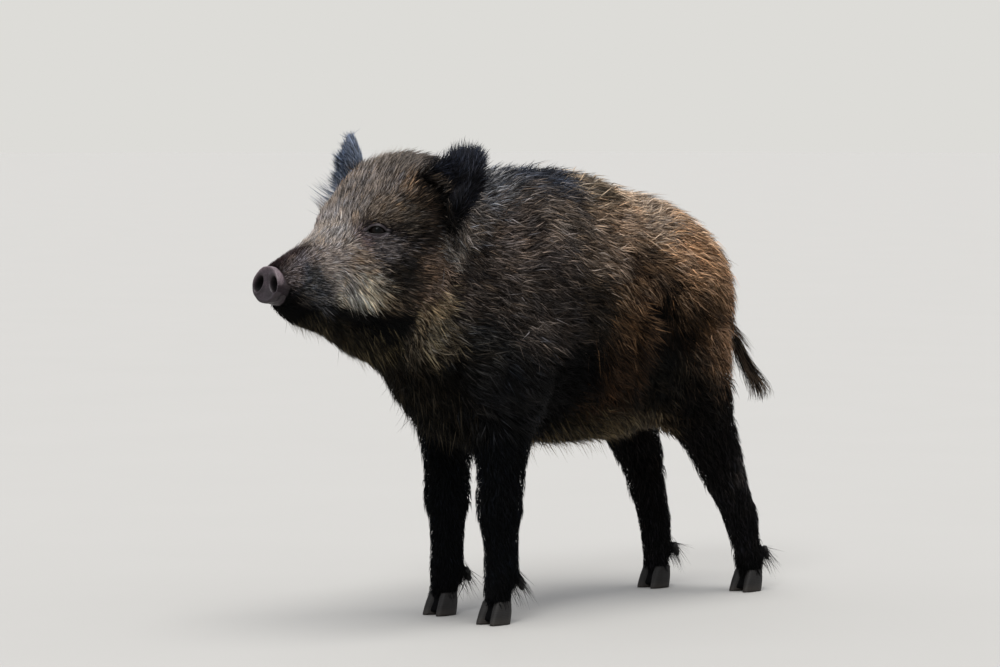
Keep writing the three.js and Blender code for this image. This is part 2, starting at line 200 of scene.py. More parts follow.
studio = {"power": 0.8, "sky": (0.93, 0.95, 1.0), "far": (221, 220, 216), "floor": (172, 170, 166),
          "grain": (181, 179, 175), "reach": 40, "sides": 64}
world = bpy.data.worlds.new("studio")
bpy.context.scene.world = world
world.use_nodes = True
sky = world.node_tree
soft, far = sky.nodes["Background"], sky.nodes.new("ShaderNodeBackground")
mix = sky.nodes.new("ShaderNodeMixShader")
soft.inputs[0].default_value, soft.inputs[1].default_value = (*studio["sky"], 1), studio["power"]
far.inputs[0].default_value = (*tone(*studio["far"]), 1)  # what shows past the floor's edge
sky.links.new(sky.nodes.new("ShaderNodeLightPath").outputs["Is Camera Ray"], mix.inputs[0])
sky.links.new(soft.outputs[0], mix.inputs[1])
sky.links.new(far.outputs[0], mix.inputs[2])
sky.links.new(mix.outputs[0], sky.nodes["World Output"].inputs[0])
bpy.context.scene.view_settings.view_transform = "Standard"

floorMesh = bpy.data.meshes.new("floor")
angles = [k * 2 * math.pi / studio["sides"] for k in range(studio["sides"])]
ring = [(studio["reach"] * math.cos(a), studio["reach"] * math.sin(a), -0.5 * mm) for a in angles]
floorMesh.from_pydata(ring, [], [tuple(range(len(ring)))])
floor = link("floor", floorMesh)
bench = Bench("floorPaint")
paper = bench.blend(bench.noise(3.0, 2.0, 0.55) * 0.25, tone(*studio["floor"]), tone(*studio["grain"]))
floorMesh.materials.append(bench.finish(colour=paper, rough=0.85))
floor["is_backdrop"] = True
print("camera, lights and floor are set")

# the lie, length and markings of the coat; the tones are partly the coat's own markings and partly painted
# light: paler on the back and top, darker low down, as lit from above
# Places are in mm: out from the middle, back from the tip of the snout, up from the floor; both sides alike.
# Then: reach, lie of the hair (out, back, up), length, depth of coat, how far it stands out, lock, spacing,
# tone at the root, tone at the tip, share of hairs with that tip.
coatMap = dict(
    noseTop=((0, 46, 512), 20, (0, .8, .55), 8, 3.5, .5, .1, 1.6, (14, 8, 8), (46, 32, 31), .5),
    noseSide=((32, 52, 490), 16, (.2, .95, -.05), 8, 3.5, .4, .1, 1.6, (38, 31, 30), (172, 160, 158), .42),
    muzzleSide=((40, 84, 496), 20, (.2, .95, 0), 10, 4.5, .45, .2, 1.7, (53, 45, 42), (212, 200, 192), .7),
    muzzleGrey=((34, 68, 468), 18, (.15, .95, -.15), 9, 4, .4, .1, 1.7, (22, 22, 23), (136, 136, 138), .34),
    bridge=((12, 98, 544), 24, (0, .75, .6), 12, 5.5, .6, .3, 1.7, (51, 44, 40), (198, 188, 179), .6),
    foreheadLow=((14, 140, 572), 26, (0, .5, .85), 15, 7, .75, .35, 1.8, (36, 30, 28), (164, 155, 149), .6),
    forehead=((25, 168, 602), 26, (0, .5, .8), 18, 10, .8, .35, 1.9, (29, 25, 22), (146, 136, 129), .6),
    crown=((22, 215, 634), 28, (.1, .7, .6), 23, 13, .85, .4, 2.1, (26, 22, 20), (134, 124, 115), .55),
    poll=((20, 275, 625), 34, (.1, .93, .25), 28, 15, .6, .5, 2.6, (30, 25, 23), (122, 112, 104), .5),
    browSide=((48, 158, 575), 20, (.35, .7, .5), 13, 6, .6, .35, 1.7, (35, 29, 25), (164, 147, 130), .55),
    temple=((72, 186, 562), 20, (.2, .95, .15), 15, 7, .45, .4, 1.9, (20, 17, 15), (106, 97, 87), .45),
    earFront=((66, 206, 594), 14, (.25, .6, .75), 17, 9, .5, .4, 1.9, (46, 34, 25), (202, 165, 130), .6),
    # earRoot: dark hair at the ear's front base, darkened further as the ear's painted shadow
    earRoot=((78, 228, 590), 17, (.4, .8, .45), 20, 11, .5, .5, 2.1, (4, 4, 5), (72, 62, 51), .18),
    earRootLow=((86, 225, 562), 13, (.35, .9, .1), 19, 10, .4, .5, 2.1, (26, 21, 18), (92, 78, 66), .3),
    earSeat=((90, 251, 567), 14, (.3, .85, -.3), 20, 9, .3, .6, 2.0, (6, 6, 6), (28, 26, 25), .3),
    eyeRing=((60, 152, 541), 13, (.35, .9, .05), 4, 3.5, .2, 0, 1.5, (30, 26, 27), (66, 59, 60), .42),
    # lidFold, eyeCorner, tearLine and eyeLine: dark tones as painted shade in the fold above the eye, the
    # tear groove and the crease running back from the outer corner
    lidFold=((61, 154, 551), 11, (.35, .9, .1), 5, 3.5, .2, 0, 1.5, (13, 11, 12), (46, 42, 42), .3),
    eyeCorner=((75, 168, 538), 10, (.2, .95, -.05), 9, 4.5, .25, .1, 1.6, (4, 3, 4), (22, 20, 20), .25),
    tearLine=((54, 140, 533), 7, (.3, .9, -.1), 3, 3, .15, 0, 1.5, (6, 4, 5), (18, 15, 16), .3),
    underEye=((58, 138, 522), 15, (.3, .95, -.15), 7, 4, .35, .1, 1.5, (64, 55, 56), (174, 154, 152), .5),
    cheekFront=((56, 126, 502), 19, (.2, .95, -.2), 13, 6, .5, .35, 1.7, (45, 37, 32), (204, 186, 168), .55),
    cheekUpper=((76, 160, 514), 18, (.2, .95, -.1), 13, 5, .45, .3, 1.8, (31, 28, 28), (148, 140, 138), .5),
    cheek=((80, 184, 492), 22, (.15, .92, -.3), 18, 8, .5, .5, 2.0, (11, 10, 9), (64, 57, 50), .46),
    eyeLine=((84, 190, 538), 11, (.1, .97, -.12), 15, 7, .3, .3, 1.9, (3, 3, 3), (10, 9, 9), .2),
    cheekBack=((92, 214, 522), 18, (.1, .95, -.2), 20, 9, .4, .5, 2.1, (17, 14, 12), (68, 59, 52), .35),
    redCheek=((88, 215, 482), 22, (.1, .92, -.3), 23, 10, .4, .6, 2.2, (33, 25, 21), (163, 140, 122), .5),
    streakTop=((46, 96, 485), 11, (.2, .6, -.75), 17, 7, .5, .5, 1.8, (23, 22, 21), (190, 188, 182), .8),
    streak=((49, 116, 474), 12, (.2, .55, -.8), 22, 8, .5, .7, 1.9, (22, 20, 18), (206, 201, 192), .85),
    streakLow=((55, 125, 465), 15, (.2, .7, -.68), 24, 10, .55, .8, 2.0, (40, 34, 29), (255, 246, 224), .9),
    streakEdge=((68, 150, 452), 13, (.15, .8, -.6), 24, 10, .5, .8, 2.1, (17, 14, 12), (154, 137, 114), .48),
    streakEnd=((80, 174, 455), 14, (.1, .85, -.5), 22, 9, .45, .6, 2.1, (21, 17, 14), (132, 118, 102), .42),
    blackBand=((46, 118, 428), 18, (.15, .88, -.4), 17, 7, .3, .4, 2.1, (9, 9, 9), (27, 26, 26), .25),
    blackCheek=((74, 190, 426), 17, (.1, .9, -.4), 19, 8, .3, .5, 2.2, (6, 6, 6), (18, 17, 17), .25),
    blackMuzzle=((27, 48, 442), 17, (.15, .95, -.2), 9, 4, .35, .1, 1.7, (6, 6, 6), (16, 15, 15), .3),
    chin=((0, 72, 422), 24, (0, .8, -.6), 18, 6, .6, .6, 2.1, (8, 8, 7), (27, 25, 22), .35),
    jawUnder=((0, 150, 385), 34, (0, .75, -.65), 24, 9, .6, .7, 2.6, (10, 9, 8), (56, 50, 38), .4),
    jowl=((54, 163, 408), 26, (.1, .88, -.45), 22, 9, .4, .6, 2.4, (6, 6, 6), (17, 17, 17), .22),
    tanCheek=((84, 240, 446), 20, (.1, .8, -.58), 30, 15, .55, .9, 2.6, (30, 23, 15), (184, 164, 133), .8),
    throat=((72, 258, 402), 26, (.1, .74, -.65), 32, 17, .6, .9, 2.8, (12, 10, 8), (134, 124, 108), .6),
    throatMid=((0, 250, 345), 40, (0, .7, -.7), 30, 15, .65, .9, 3.2, (8, 7, 5), (42, 37, 29), .45),
    throatLow=((60, 285, 345), 28, (.05, .7, -.7), 30, 16, .6, .9, 3.1, (4, 4, 3), (30, 27, 23), .35),
    behindEar=((92, 274, 520), 15, (.1, .9, -.42), 29, 13, .35, .8, 2.5, (33, 31, 29), (164, 158, 150), .74),
    nape=((76, 306, 560), 30, (.1, .95, -.2), 28, 17, .35, .7, 3.1, (35, 32, 30), (176, 165, 156), .48),
    neckSide=((89, 315, 462), 38, (.05, .95, -.25), 30, 18, .35, .7, 3.2, (21, 18, 17), (105, 95, 88), .45),
    neckLow=((89, 325, 380), 38, (.05, .86, -.45), 31, 18, .4, .8, 3.3, (8, 8, 8), (76, 74, 71), .32),
    crest=((25, 350, 612), 44, (.05, .98, 0), 38, 24, .35, .7, 3.3, (31, 32, 34), (156, 156, 158), .4),
    shoulder=((100, 384, 520), 48, (.05, .95, -.25), 32, 19, .3, .7, 3.4, (26, 22, 20), (136, 122, 113), .46),
    armTop=((107, 377, 442), 46, (.05, .9, -.38), 32, 19, .3, .7, 3.4, (24, 21, 19), (116, 106, 99), .45),
    upperArm=((92, 372, 330), 46, (.05, .8, -.58), 28, 18, .3, .7, 3.4, (9, 9, 9), (42, 42, 43), .3),
    # withers: the bluish tips are a painted sheen
    withers=((25, 480, 612), 46, (.08, .97, -.1), 40, 26, .4, .8, 3.5, (16, 17, 21), (88, 92, 102), .45),
    bladeTop=((78, 470, 572), 40, (.1, .92, -.32), 36, 23, .35, .8, 3.5, (29, 25, 23), (148, 134, 122), .48),
    backFront=((38, 590, 602), 44, (.1, .94, -.2), 38, 25, .4, .9, 3.6, (38, 33, 28), (186, 166, 142), .52),
    back=((58, 678, 572), 46, (.1, .92, -.3), 38, 24, .4, .9, 3.6, (47, 36, 28), (226, 200, 174), .68),
    backSide=((90, 600, 545), 36, (.1, .9, -.42), 38, 24, .4, .95, 3.6, (42, 30, 22), (228, 196, 167), .58),
    loin=((104, 628, 500), 34, (.1, .85, -.5), 38, 24, .45, 1, 3.6, (24, 15, 11), (132, 107, 84), .54),
    rump=((112, 745, 499), 46, (.1, .78, -.58), 35, 22, .4, .9, 3.6, (37, 25, 17), (220, 178, 140), .58),
    rumpTop=((30, 825, 548), 50, (.05, .85, -.4), 35, 22, .4, .9, 3.6, (46, 31, 22), (240, 203, 168), .62),
    rumpRear=((55, 915, 440), 50, (.05, .35, -.92), 32, 20, .45, .9, 3.6, (38, 22, 12), (176, 116, 72), .52),
    tailBase=((28, 925, 408), 26, (.15, .5, -.85), 46, 16, 1, .5, 3.2, (16, 10, 7), (84, 62, 46), .35),
    thigh=((131, 735, 420), 36, (.05, .62, -.78), 33, 20, .4, .9, 3.6, (13, 9, 5), (78, 59, 41), .5),
    thighFront=((126, 696, 395), 22, (.05, .5, -.86), 28, 16, .3, .8, 3.5, (4, 3, 2), (25, 19, 14), .38),
    thighRear=((131, 785, 375), 38, (.05, .6, -.8), 32, 20, .4, .9, 3.6, (29, 20, 13), (166, 131, 102), .5),
    thighLow=((133, 750, 328), 32, (.05, .5, -.86), 28, 17, .35, .8, 3.5, (10, 8, 6), (78, 66, 54), .34),
    thighDark=((118, 735, 290), 36, (.05, .45, -.9), 25, 15, .3, .7, 3.4, (6, 5, 4), (28, 24, 20), .32),
    flankHigh=((108, 540, 502), 38, (.05, .9, -.4), 38, 24, .35, .9, 3.6, (36, 29, 24), (186, 164, 144), .55),
    flankMid=((118, 508, 440), 36, (.05, .88, -.45), 40, 24, .4, .9, 3.6, (15, 13, 10), (86, 76, 66), .38),
    flank=((118, 560, 456), 28, (.05, .8, -.58), 36, 26, .5, 1, 3.4, (19, 13, 9), (117, 93, 69), .5),
    flankLow=((118, 598, 414), 24, (.05, .75, -.65), 38, 31, .75, 1, 3.1, (15, 10, 7), (130, 101, 75), .56),
    flankUnder=((112, 562, 372), 30, (.05, .8, -.6), 38, 27, .6, 1, 3.4, (9, 6, 5), (61, 47, 35), .45),
    # hollowTop, hollow, hollowLow and hollowDeep: a near-black band of painted shade in the hollow before the
    # thigh
    hollowTop=((118, 652, 468), 14, (.05, .45, -.88), 26, 13, .2, .8, 3.2, (8, 5, 4), (31, 23, 16), .4),
    hollow=((121, 648, 436), 19, (.05, .25, -.97), 21, 7, .1, .5, 3.0, (3, 3, 2), (9, 7, 5), .2),
    hollowLow=((119, 654, 386), 20, (.05, .25, -.97), 21, 6, .1, .5, 3.0, (6, 5, 4), (22, 17, 14), .3),
    hollowDeep=((110, 668, 325), 26, (.05, .3, -.95), 22, 9, .2, .6, 3.2, (9, 9, 8), (44, 40, 34), .28),
    ribs=((108, 455, 430), 44, (.05, .92, -.4), 35, 22, .3, .7, 3.6, (20, 17, 15), (90, 82, 77), .42),
    ribsLow=((103, 480, 345), 46, (.05, .88, -.45), 34, 22, .35, .7, 3.6, (2, 2, 2), (12, 11, 10), .26),
    lowerFlank=((95, 575, 300), 36, (.05, .85, -.5), 35, 23, .45, .9, 3.6, (10, 7, 5), (73, 54, 38), .42),
    belly=((0, 540, 240), 56, (0, .85, -.5), 38, 22, .75, .9, 3.6, (10, 8, 6), (60, 52, 36), .45),
    bellyRear=((30, 630, 245), 34, (0, .85, -.5), 38, 20, .75, .9, 3.6, (24, 20, 14), (120, 106, 80), .52),
    elbow=((62, 470, 262), 36, (.05, .8, -.58), 25, 16, .4, .6, 3.4, (6, 6, 5), (17, 16, 14), .25),
    chest=((10, 320, 275), 50, (0, .45, -.88), 28, 17, .5, .8, 3.5, (8, 8, 7), (36, 33, 28), .3),
    groin=((40, 712, 262), 34, (0, .8, -.6), 28, 15, .5, .8, 3.4, (34, 28, 22), (112, 98, 76), .5),
    # legs: the bluish grey in the tips is a painted sheen
    foreleg=((68, 372, 210), 46, (.05, .3, -.95), 20, 8, .2, .3, 2.9, (4, 5, 6), (14, 16, 21), .3),
    forelegLow=((66, 378, 110), 40, (.05, .25, -.97), 15, 4, .2, .25, 2.5, (4, 5, 6), (15, 17, 22), .3),
    foreFoot=((66, 398, 45), 30, (.05, .1, -.98), 14, 3.5, .5, .4, 2.2, (4, 4, 5), (15, 15, 17), .3),
    foreHeel=((66, 427, 62), 22, (0, .55, -.8), 31, 6, .9, .6, 2.1, (4, 4, 5), (20, 19, 21), .35),
    gaskin=((78, 790, 215), 46, (.05, .4, -.9), 22, 9, .2, .3, 3.0, (7, 6, 6), (30, 27, 26), .32),
    # hock: the paler grey tips at the back are a painted sheen
    hock=((74, 862, 200), 26, (.05, .35, -.93), 21, 7, .5, .7, 2.7, (11, 11, 11), (80, 76, 76), .4),
    cannon=((68, 880, 110), 42, (.05, .25, -.97), 16, 4, .2, .25, 2.5, (7, 7, 7), (38, 36, 38), .35),
    hindFoot=((68, 912, 45), 30, (.05, .1, -.98), 14, 3.5, .5, .4, 2.2, (5, 5, 5), (28, 27, 29), .3),
    hindHeel=((66, 915, 62), 26, (0, .55, -.8), 31, 6, .9, .6, 2.1, (4, 4, 4), (22, 21, 22), .35),
)
earMaps = {}  # the left ear is turned back, with a painted bluish sheen towards its tip; the right one stands up and shows its inside, painted paler and bluish as a lit side with a sheen
earMaps["left"] = dict(
    earBase=((80, 225, 565), 24, (.35, .8, -.1), 21, 4, .5, .5, 1.8, (5, 5, 6), (34, 31, 29), .3),
    earMiddle=((98, 258, 596), 26, (.05, .8, .35), 22, 5, .7, .4, 1.7, (7, 7, 9), (33, 34, 40), .42),
    earTop=((104, 262, 636), 22, (-.05, .5, .8), 25, 5, .8, .3, 1.5, (10, 11, 14), (50, 53, 64), .5),
    earTip=((118, 300, 640), 24, (-.05, .9, .1), 21, 4, .6, .3, 1.5, (11, 12, 15), (66, 70, 82), .5),
)
earMaps["right"] = dict(
    earBase=((80, 225, 575), 26, (.8, -.3, .4), 26, 3, .8, .5, 2.0, (20, 22, 27), (88, 96, 110), .5),
    earMiddle=((100, 262, 605), 24, (.66, -.25, .55), 20, 3, .8, .4, 1.8, (30, 33, 39), (112, 121, 138), .6),
    earTip=((118, 300, 655), 24, (.6, .1, .6), 17, 3, .7, .4, 1.8, (30, 33, 39), (112, 121, 138), .6),
)
tailMap = dict(
    tailTop=((15, 910, 425), 20, (.1, .5, -.8), 20, 4, .5, .5, 2.4, (30, 20, 14), (100, 70, 50), .4),
    tailEnd=((40, 925, 375), 30, (.2, .3, -.9), 17, 3, .5, .5, 2.2, (10, 8, 7), (44, 36, 30), .35),
)
columns = ("lie", "length", "depth", "standing", "lock", "spacing", "root", "tip", "share")


def waves(points, size, seed):  # a smooth random number from -1 to 1 at each point
    draw = np.random.default_rng(seed)
    total = np.zeros(len(points))
    for _ in range(6):
        way = draw.normal(size=3)
        total += np.sin(points @ (way * 2.2 / (np.linalg.norm(way) * size)) + draw.uniform(0, 6.28))
    return total / 2.6


def drifts(points, size, seed):  # three such numbers, as a way to wander
    return np.stack([waves(points, size, seed + k) for k in range(3)], 1)


def folded(points):  # out from the middle, back from the snout, up from the floor; both sides alike
    return np.abs(points * (1, 0, 0)) + points * (0, 1, 1) - (0, cadLow.y, 0)


def sided(points):  # turns a way given for the left side to each point's own side
    return np.stack([np.sign(points[:, 0]), np.ones(len(points)), np.ones(len(points))], 1)


def read(points, table, warp=0.0, sharp=4.5):  # a table's values at each point, eased from patch to patch
    rows = list(table.values())
    where = folded(points)
    if warp:
        where = where + warp * drifts(points, 30 * mm, 7) + warp * 0.5 * drifts(points, 11 * mm, 17)
    centre = np.array([r[0] for r in rows]) * mm
    reach = np.array([r[1] for r in rows]) * mm
    gap = ((where ** 2).sum(1)[:, None] + (centre ** 2).sum(1)[None] - 2 * where @ centre.T) / reach ** 2
    weight = np.exp(-sharp * 0.5 * (gap - gap.min(1, keepdims=True)))
    weight /= weight.sum(1, keepdims=True)
    found = {}
    for k, name in enumerate(columns):
        values = np.array([r[k + 2] for r in rows], float)
        if name in ("root", "tip"):
            values = np.array([tone(*v) for v in values])
        if name in ("length", "depth", "spacing"):
            values = values * mm
        found[name] = weight @ values
    found["lie"] = found["lie"] * sided(points)
    return found


# mesh helpers
def plainMesh(item):  # the object's finished mesh, with its modifiers worked in; the object goes
    bpy.context.view_layer.update()
    mesh = bpy.data.meshes.new_from_object(item.evaluated_get(bpy.context.evaluated_depsgraph_get()))
    bpy.data.objects.remove(item)
    return mesh


def gather(names, fuller=0.0):  # the named solids in one mesh, loose triangles merged, the ears made fuller
    bm = bmesh.new()
    for name in names:
        start = len(bm.verts)
        bm.from_mesh(nodes[name].data)
        if fuller and name.startswith("ear"):
            bm.verts.ensure_lookup_table()
            bmesh.ops.remove_doubles(bm, verts=bm.verts[start:], dist=0.01 * mm)
            bm.normal_update()
            for vert in bm.verts[start:]:
                vert.co += vert.normal * fuller
    bmesh.ops.remove_doubles(bm, verts=bm.verts, dist=0.01 * mm)
    mesh = bpy.data.meshes.new("gathered")
    bm.to_mesh(mesh)
    bm.free()
    return mesh


def remeshed(mesh, size):
    item = link("work", mesh)
    change = item.modifiers.new("remesh", "REMESH")
    change.mode, change.voxel_size, change.use_smooth_shade = "VOXEL", size, True
    return plainMesh(item)


def fetched(items, field, wide, kind=float):  # a row of values from each item
    found = np.zeros(len(items) * wide, kind)
    items.foreach_get(field, found)
    return found.reshape(-1, wide)


def places(mesh):
    return fetched(mesh.vertices, "co", 3)


def setPlaces(mesh, points):
    mesh.vertices.foreach_set("co", np.ascontiguousarray(points, np.float32).ravel())
    mesh.update()


def outward(mesh):
    return fetched(mesh.vertex_normals, "vector", 3)


def edgesOf(mesh):
    return fetched(mesh.edges, "vertices", 2, np.int64)


def unit(rows):
    return rows / np.maximum(np.linalg.norm(rows, axis=1), 1e-9)[:, None]


def paint(mesh, name, values, kind="FLOAT_COLOR"):  # a number, a colour or a vector on each point
    if values.ndim == 1:
        kind = "FLOAT"
    elif kind == "FLOAT_COLOR":
        values = np.concatenate([np.maximum(values, 0), np.ones((len(values), 1))], 1)
    field = {"FLOAT": "value", "FLOAT_COLOR": "color", "FLOAT_VECTOR": "vector"}[kind]
    mesh.attributes.new(name, kind, "POINT").data.foreach_set(field, values.astype(np.float32).ravel())


def setBakeMap(mesh, corners):
    layer = mesh.uv_layers.new(name="OFBake", do_init=False)
    layer.uv.foreach_set("vector", np.clip(corners, 0, 1).astype(np.float32).ravel())


def dress(mesh, finish):
    mesh.materials.clear()
    mesh.materials.append(finish)
    mesh.polygons.foreach_set("use_smooth", np.ones(len(mesh.polygons), bool))


def relax(values, edges, rounds, share=0.5, where=None):  # evens values out along the edges
    first, second = edges.T
    count = np.maximum(np.bincount(edges.ravel(), minlength=len(values)), 1)
    out = values.reshape(len(values), -1).copy()
    pull = share if where is None else (share * where)[:, None]
    for _ in range(rounds):
        total = [np.bincount(first, column[second], len(out)) + np.bincount(second, column[first], len(out))
                 for column in out.T]
        out += pull * (np.stack(total, 1) / count[:, None] - out)
    return out[:, 0] if values.ndim == 1 else out


def largestShell(mesh):
    bm = bmesh.new()
    bm.from_mesh(mesh)
    seen, best = set(), []
    for start in bm.verts:
        if start.index in seen:
            continue
        seen.add(start.index)
        shell, queue = [start], [start]
        while queue:
            for edge in queue.pop().link_edges:
                for vert in edge.verts:
                    if vert.index not in seen:
                        seen.add(vert.index)
                        shell.append(vert)
                        queue.append(vert)
        if len(shell) > len(best):
            best = shell
    keep = {v.index for v in best}
    bmesh.ops.delete(bm, geom=[v for v in bm.verts if v.index not in keep], context="VERTS")
    bm.to_mesh(mesh)
    bm.free()
    return mesh


def ease(low, high, values):  # 0 at low, 1 at high, whichever is the larger
    part = np.clip((values - low) / (high - low), 0, 1)
    return part * part * (3 - 2 * part)


def hump(values, width):  # 1 at 0, falling away over width
    return np.exp(-(values / width) ** 2)


# which solid each place belongs to
fleshNames = [n for n in nodes if not any(k in n for k in ("eye", "hoof", "dewclaw", "brush"))]
hornNames = sorted(n for n in nodes if "hoof" in n or "dewclaw" in n)
labelPoints, labelFaces, labelOf = [], [], []
for name in fleshNames + hornNames:
    mesh = nodes[name].data
    start = len(labelPoints)
    labelPoints += [tuple(v.co) for v in mesh.vertices]
    labelFaces += [tuple(start + i for i in p.vertices) for p in mesh.polygons]
    labelOf += [name] * len(mesh.polygons)
hullTree = BVHTree.FromPolygons(labelPoints, labelFaces)


def labels(points):
    return np.array([labelOf[hullTree.find_nearest(Vector(p))[2]] for p in points])


# the skin
skinSize = {"voxel": 4.5 * mm, "rounds": 6, "thick": 4 * mm, "earFuller": 2.2 * mm, "earDepth": 1.8 * mm,
            "earRounds": 10, "tailDepth": 3.5 * mm, "discDepth": 0.3 * mm, "hornDepth": 3.0 * mm,
            "clawDepth": -2.4 * mm, "clawShare": 0.55}
earBend = {"from": 598 * mm, "back": -0.04, "down": 0.36, "tuck": 0.4, "tuckReach": 45 * mm}


def inHorn(name, points):  # as low as the hoof or the bare share of the dewclaw
    low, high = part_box(name)
    return points[:, 2] < (low.z + (skinSize["clawShare"] if "dewclaw" in name else 1.0) * (high.z - low.z))


wholeNames = fleshNames + hornNames + ["eye_left", "eye_right"]
hull = largestShell(remeshed(gather(wholeNames, skinSize["earFuller"]), skinSize["voxel"]))
points, edges = places(hull), edgesOf(hull)
kind = labels(points)
onEar, onLeftEar = np.char.startswith(kind, "ear"), kind == "ear_left"
above = np.maximum(points[:, 2] - earBend["from"], 0) * onLeftEar  # the left ear's tip is bent back
points[:, 1] += above * earBend["back"]
points[:, 2] -= above * earBend["down"]
below = np.clip(earBend["from"] - points[:, 2], 0, earBend["tuckReach"]) * onLeftEar
points[:, 1] -= below * earBend["tuck"]  # and its lower part brought forward
setPlaces(hull, points)
depth = read(points, coatMap)["depth"]
depth[kind == "tail"] = skinSize["tailDepth"]
depth[kind == "snout_disc"] = skinSize["discDepth"]
for name in hornNames:
    mine = kind == name
    depth[mine] = np.where(inHorn(name, points), skinSize["hornDepth"], skinSize["clawDepth"])[mine]
depth[onEar] = skinSize["earDepth"]
depth = relax(depth, edges, 6)
depth[onEar] = skinSize["earDepth"]
for _ in range(skinSize["rounds"]):
    way = relax(outward(hull), edges, 2)
    points = points - way * (depth / skinSize["rounds"])[:, None]
    points = relax(points, edges, 1, 0.3, (depth > skinSize["thick"]) * 1.0)
    setPlaces(hull, points)
skin = largestShell(remeshed(hull, skinSize["voxel"]))
points, edges = places(skin), edgesOf(skin)
onEar = np.char.startswith(labels(points), "ear") * 1.0
points = relax(points, edges, 3, 0.4, 1 - onEar)
for _ in range(skinSize["earRounds"]):  # thin ears are smoothed without shrinking
    points = relax(relax(points, edges, 1, 0.5, onEar), edges, 1, -0.53, onEar)
setPlaces(skin, points)
print("skin laid inside the solids:", len(skin.polygons), "faces")


def refine(mesh, spots):  # splits the faces near each spot (centre, radius, times)
    bm = bmesh.new()
    bm.from_mesh(mesh)
    for centre, radius, times in spots:
        for k in range(times):
            reach = radius * (1 - 0.1 * k)
            near = [e for e in bm.edges if all((v.co - centre).length < reach for v in e.verts)]
            bmesh.ops.subdivide_edges(bm, edges=near, cuts=1, use_grid_fill=True)
    bm.to_mesh(mesh)
    bm.free()


def middleOf(name):
    low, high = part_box(name)
    return (low + high) / 2


sides = (("left", 1), ("right", -1))
discCentre = middleOf("snout_disc")
spots = [(middleOf("eye_" + side) + Vector((flip * 8, -8, 2)) * mm, 30 * mm, 3) for side, flip in sides]
spots += [(discCentre + Vector((0, 40 * mm, -10 * mm)), 76 * mm, 1), (discCentre, 37 * mm, 1)]
refine(skin, spots)
points, edges = places(skin), edgesOf(skin)
near = np.zeros(len(points))
for centre, radius, _ in spots:
    near = np.maximum(near, 1 - ease(0.7 * radius, radius, np.linalg.norm(points - np.array(centre), axis=1)))
points = relax(points, edges, 4, 0.5, near)

# eyelids: they hug the ball, with a fold above, two below, and a crease at each corner
eyeShape = {"gaze": (0.727, -0.626, 0.283), "along": (0.61, 0.79, -0.03), "reach": 34 * mm, "behind": -4 * mm,
            "lid": 1.5 * mm, "half": 13.2 * mm, "above": 7.2 * mm, "below": 3.0 * mm, "lean": 0.05,
            "drop": -3.0 * mm, "ahead": 2.2 * mm, "tear": 0.7, "crease": -0.14, "soft": 2.2 * mm,
            "rim": 0.55 * mm}


def lidLines(u):  # heights of the lids' edges, of the fold above them, the tear line and the outer crease
    lens = np.clip(1 - (u / eyeShape["half"]) ** 2, 0, 1)
    top = eyeShape["above"] * lens ** 0.75 - eyeShape["lean"] * u * lens
    bottom = -eyeShape["below"] * lens ** 0.9 - eyeShape["lean"] * u * lens
    fold = top + (4.6 + 1.2 * np.cos(u / (9 * mm))) * mm
    tear = eyeShape["tear"] * (u + eyeShape["half"]) - 0.5 * mm
    return top, bottom, fold, tear, eyeShape["crease"] * (u - eyeShape["half"])


def eyeSeat(side, flip):  # the ball's middle and radius, its line of sight, along the slit, and up across it
    low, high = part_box("eye_" + side)
    radius = (high - low).length / 2 / math.sqrt(3)
    gaze = np.array(eyeShape["gaze"]) * (flip, 1, 1)
    gaze /= np.linalg.norm(gaze)
    along = np.array(eyeShape["along"]) * (flip, 1, 1)
    along -= gaze * (along @ gaze)
    along /= np.linalg.norm(along)
    return np.array((low + high) / 2), radius, gaze, along, np.cross(gaze, along) * flip


